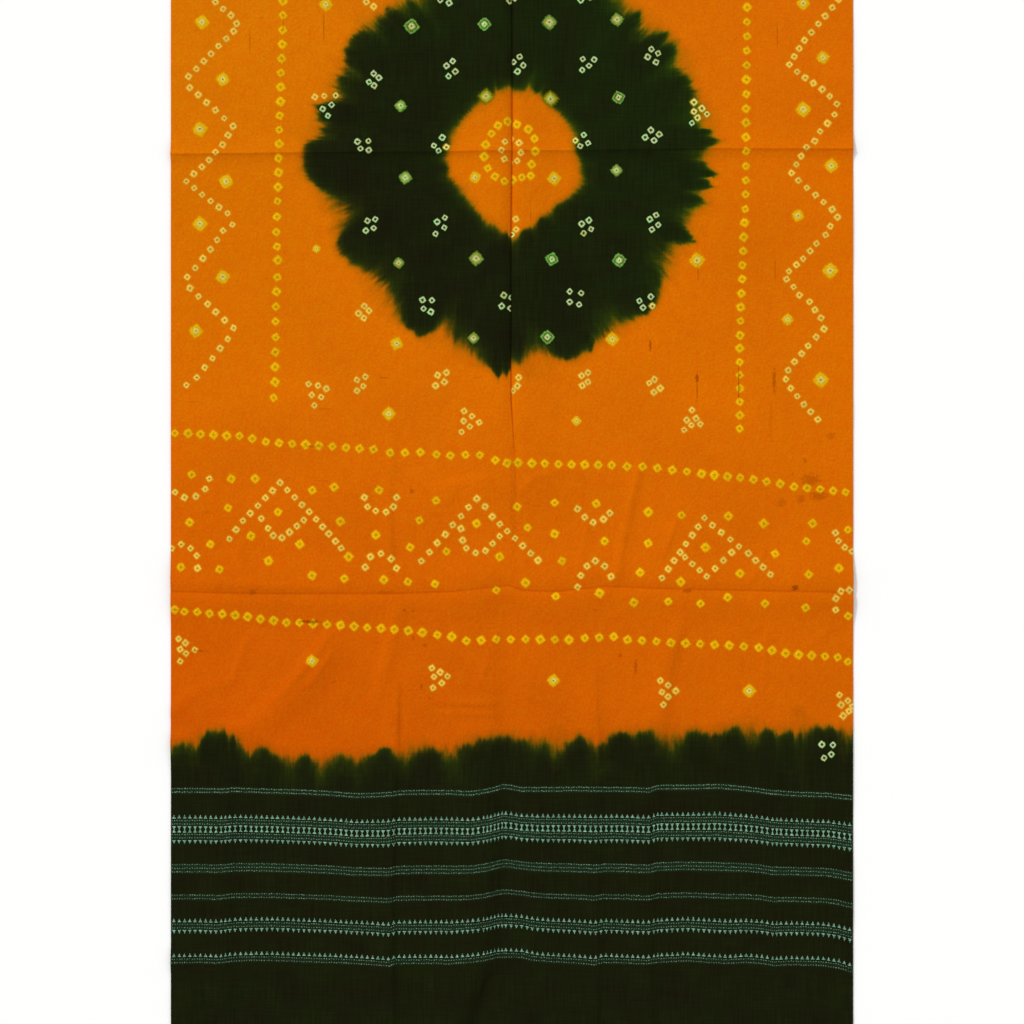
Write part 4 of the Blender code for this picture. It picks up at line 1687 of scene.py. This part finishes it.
        # a corner on the tuck takes the dye of its own face's side
        parted = spots.copy()
        on_tuck = np.abs(spots[:, 0] - tuck_at(spots[:, 1])) < self.tuck_half
        parted[on_tuck, 0] += self.parting * sides[owners][on_tuck]
        carried = {
            "dot_near": self.dots.measures(spots, near),
            "dot_next": self.dots.measures(spots, following),
            "dye": self.dye.depths(parted),
            "mark": self.marks(spots, owners, centres),
            # where the painted shade of the tuck and the creases falls
            "lines": self.line_offsets(spots, sides[owners]),
            "pick": self.pick_levels(spots),
        }
        for name, values in carried.items():
            attribute = mesh.attributes.new(name, "FLOAT_VECTOR", "CORNER")
            attribute.data.foreach_set("vector", values.astype(np.float32).ravel())

    def lay_out(self, mesh: bpy.types.Mesh, faces: Faces) -> None:
        """Lay the faces out for the colour map: the top at full scale, the back at half.

        Args:
            mesh: The web's mesh.
            faces: Its faces.
        """
        flat = faces.spots + np.array([WIDTH / 2, LENGTH / 2])
        top_end = int(faces.totals[: faces.top].sum())
        back_end = top_end + int(faces.totals[faces.top : faces.top + faces.back].sum())
        chart = np.empty_like(flat)
        chart[:top_end] = flat[:top_end] + TOP_CORNER
        chart[top_end:back_end] = flat[top_end:back_end] * BACK_SCALE + BACK_CORNER
        at, done = back_end, 0.0
        upper_first = faces.vertices[:top_end].max() + 1
        for total in faces.totals[faces.top + faces.back :]:
            ring = slice(at, at + total)
            row, along = divmod(done, RIM_RUN)
            lengths = np.hypot(*(faces.spots[ring] - faces.spots[at]).T)
            raised = faces.vertices[ring] < upper_first
            chart[ring, 0] = RIM_CORNER[0] + along + lengths
            chart[ring, 1] = RIM_CORNER[1] + row * RIM_ROW + np.where(raised, RIM_ROW / 2, 0)
            done += float(lengths.max())
            at += total
        layer = mesh.uv_layers.new(name=ATLAS_NAME)
        layer.uv.foreach_set("vector", (chart / ATLAS).astype(np.float32).ravel())


# ---------------------------------------------------------------- woven end stripes


class Motif(Enum):
    """What a stripe of the end border is made of, and how far apart along the weft."""

    DASH = ("dash", 2.4)
    SPIKE_UP = ("spike with its point up", 5.08)
    SPIKE_DOWN = ("spike with its point down", 5.08)
    HOURGLASS = ("hourglass", 5.08)


class Stripe(NamedTuple):
    """One stripe of extra weft, by its upper and lower edge at the left selvedge."""

    motif: Motif
    top: float
    bottom: float
    width: float  # of the motif's widest pick


DASHES = tuple(
    Stripe(Motif.DASH, height, height, width)
    for width, heights in (
        (1.7, (-266.1, -269.4)),
        (1.3, (-296.7, -300.0, -310.0, -313.3, -339.1, -342.5, -345.9, -368.3, -371.7)),
        (1.2, (-396.4, -399.7, -429.6, -433.0)),
    )
    for height in heights
)
SPIKES = (
    # motif, top, bottom, width
    Stripe(Motif.SPIKE_UP, -291.7, -294.4, 3.9),
    Stripe(Motif.HOURGLASS, -302.5, -307.9, 3.9),
    Stripe(Motif.SPIKE_DOWN, -315.9, -318.6, 3.9),
    Stripe(Motif.SPIKE_UP, -391.2, -393.9, 3.7),
    Stripe(Motif.SPIKE_DOWN, -402.1, -404.8, 3.7),
    Stripe(Motif.SPIKE_UP, -424.6, -427.2, 3.7),
)

# The stretches of the weft that a fold pushes together: start, end, what is left of each length
SQUEEZES = ((-284, -273, 0.8), (-28, -6, 0.7), (133, 141, 0.75), (246, 256, 0.8))

PICK = 0.79  # from one extra pick to the next inside a motif
POINT = 0.18  # the length of a spike's last pick, as a share of its first
TAPER = 1.3  # how hollow its sides are; 1 is straight
FIRST, LAST = 0.6, 0.5  # from a selvedge to its next motif, in pitches
SUNK = 0.06  # how deep a float lies between the cloth's own threads
FLOAT = ((0.0, 0.35), (0.22, 1.0), (0.78, 1.0), (1.0, 0.35))  # share of its length, and fatness
ABOVE = 60.0  # a height over all folds


@dataclass(frozen=True)
class EndStripes:
    """The extra weft of the end border, as floats that lie on the web."""

    name: str
    stripes: tuple[Stripe, ...]
    finish: WeftYarn
    ground: BVHTree
    seed: int
    yarn: float  # how wide one pick lies, a little spread
    loose: float  # how much of its length a float gains or loses, and how far it strays
    height: float = 0.35

    def lengths(self, stripe: Stripe) -> list[tuple[float, float]]:
        """List the picks of one motif.

        Args:
            stripe: The stripe that it is in.

        Returns:
            The height and the length of each pick.
        """
        if stripe.motif is Motif.DASH:
            return [(stripe.top, stripe.width)]
        count = round((stripe.top - stripe.bottom) / PICK) + 1
        picks = []
        for share in (at / (count - 1) for at in range(count)):
            y = stripe.top + (stripe.bottom - stripe.top) * share
            if stripe.motif is Motif.SPIKE_DOWN:
                share = 1 - share
            elif stripe.motif is Motif.HOURGLASS:
                share = abs(2 * share - 1)
            picks.append((y, stripe.width * (POINT + (1 - POINT) * share**TAPER)))
        return picks

    def middles(self, stripe: Stripe) -> Iterable[tuple[float, float]]:
        """Walk along a stripe from motif to motif.

        Args:
            stripe: The stripe.

        Returns:
            The middle of each motif, and the share of its length that the folds leave it.
        """
        _, pitch = stripe.motif.value
        x = -WIDTH / 2 + pitch * FIRST
        while x < WIDTH / 2 - pitch * LAST:
            share = next((left for start, end, left in SQUEEZES if start < x < end), 1.0)
            yield x, share
            x += pitch * share

    def float_points(self, start: float, end: float, y: float) -> list[Vector]:
        """Make the points of one float.

        Args:
            start: Where the yarn comes up.
            end: Where it goes down again.
            y: How high its pick lies at the left selvedge.

        Returns:
            Four sections of three points, from the left to the right.
        """
        points = []
        for share, fat in FLOAT:
            x = start + (end - start) * share
            middle = y + float(weft_lift(np.array([x]), np.array([y]))[0])
            hit = self.ground.ray_cast(Vector((x, middle, ABOVE)), Vector((0, 0, -1)))[0]
            base, half = hit.z - SUNK, self.yarn / 2 * fat
            points += [Vector((x, middle - half, base)), Vector((x, middle + half, base))]
            points.append(Vector((x, middle, base + self.height * fat)))
        return points

    def build(self) -> bpy.types.Object:
        """Make all floats of these stripes as one mesh."""
        chance = random.Random(self.seed)
        points: list[Vector] = []
        faces: list[tuple[int, ...]] = []
        for stripe in self.stripes:
            picks = self.lengths(stripe)
            for x, share in self.middles(stripe):
                x += chance.uniform(-self.loose, self.loose)
                for y, length in picks:
                    half = length * share * chance.uniform(1 - self.loose, 1 + self.loose) / 2
                    y += chance.uniform(-self.loose, self.loose)
                    first = len(points)
                    points += self.float_points(x - half, x + half, y)
                    faces += [(first, first + 2, first + 1), (first + 9, first + 10, first + 11)]
                    for at in range(first, first + 9, 3):
                        for low, high in ((0, 1), (1, 2), (2, 0)):
                            faces.append((at + low, at + high, at + high + 3, at + low + 3))
        mesh = bpy.data.meshes.new(self.name)
        mesh.from_pydata([point * MM for point in points], [], faces)
        mesh.shade_smooth()
        mesh.materials.append(self.finish.build())
        return add_object(self.name, mesh)


# ---------------------------------------------------------------- studio


@dataclass(frozen=True)
class Studio:
    """A white table under a soft sky, with a low window at the top left."""

    table: float = 3.0
    drop: float = 0.2  # of the table top below the cloth, in millimetres
    height: float = 2.326  # of the camera, which gives 0.962 mm a point
    lens: float = 85.0
    sensor: float = 36.0
    near: float = 0.1  # what the camera sees starts here
    far: float = 10.0
    sky: float = 0.75
    sun: float = 1.45
    sun_height: float = 40.0  # degrees above the table
    sun_side: float = 135.0  # degrees anticlockwise from X
    sun_width: float = 12.0

    def table_top(self) -> bpy.types.Object:
        """Make the table top."""
        half, z = self.table / 2, -self.drop * MM
        corners = [(-half, -half, z), (half, -half, z), (half, half, z), (-half, half, z)]
        mesh = bpy.data.meshes.new("table_top")
        mesh.from_pydata(corners, [], [(0, 1, 2, 3)])
        surface = {"Base Color": linear("#FAFAF9"), "Roughness": 0.9, "Specular IOR Level": 0.1}
        mesh.materials.append(Nodes("matt_white_laminate").finished(surface))
        return add_object("table_top", mesh)

    def light(self) -> None:
        """Set up the window light and the sky."""
        lamp = bpy.data.lights.new("window", "SUN")
        lamp.energy = self.sun
        lamp.angle = math.radians(self.sun_width)
        tall, side = math.radians(self.sun_height), math.radians(self.sun_side)
        level = math.cos(tall)
        towards = Vector((level * math.cos(side), level * math.sin(side), math.sin(tall)))
        add_object("window", lamp).rotation_euler = towards.to_track_quat("Z", "Y").to_euler()
        world = bpy.data.worlds.new("sky")
        world.use_nodes = True
        background = world.node_tree.nodes["Background"]
        background.inputs["Color"].default_value = (1, 1, 1, 1)
        background.inputs["Strength"].default_value = self.sky
        bpy.context.scene.world = world
        bpy.context.scene.view_settings.view_transform = "Standard"

    def camera(self) -> None:
        """Hang the camera straight above the cloth's middle."""
        data = bpy.data.cameras.new("camera")
        data.lens, data.sensor_width = self.lens, self.sensor
        data.clip_start, data.clip_end = self.near, self.far
        camera = add_object("camera", data)
        camera.location = (0, 0, self.height)
        bpy.context.scene.camera = camera


def surface_of(obj: bpy.types.Object) -> BVHTree:
    """Make the search tree of a mesh, in millimetres."""
    points = [vert.co / MM for vert in obj.data.vertices]
    return BVHTree.FromPolygons(points, [tuple(face.vertices) for face in obj.data.polygons])


def main() -> None:
    """Build the cloth, its stripes and the studio, and log how many faces the web and stripes have.
    """
    logging.basicConfig(level=logging.INFO, format="%(message)s")
    dye = DyeField()
    web = Web(Relief(), dye, DotField(dye), TiedCotton()).build()
    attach(web, BODY)
    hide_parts(CLOTH_NODE)
    logging.info("web: %d faces", len(web.data.polygons))
    ground = surface_of(web)
    stripes = [
        EndStripes("end_stripes_bright", SPIKES, BRIGHT_YARN, ground, 3, 0.7, 0.1).build(),
        EndStripes("end_stripes_dull", DASHES, DULL_YARN, ground, 4, 1.15, 0.3).build(),
    ]
    for obj in stripes:
        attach(obj, BODY)
        logging.info("%s: %d faces", obj.name, len(obj.data.polygons))
    studio = Studio()
    studio.table_top()
    studio.light()
    studio.camera()


if __name__ == "__main__":
    main()
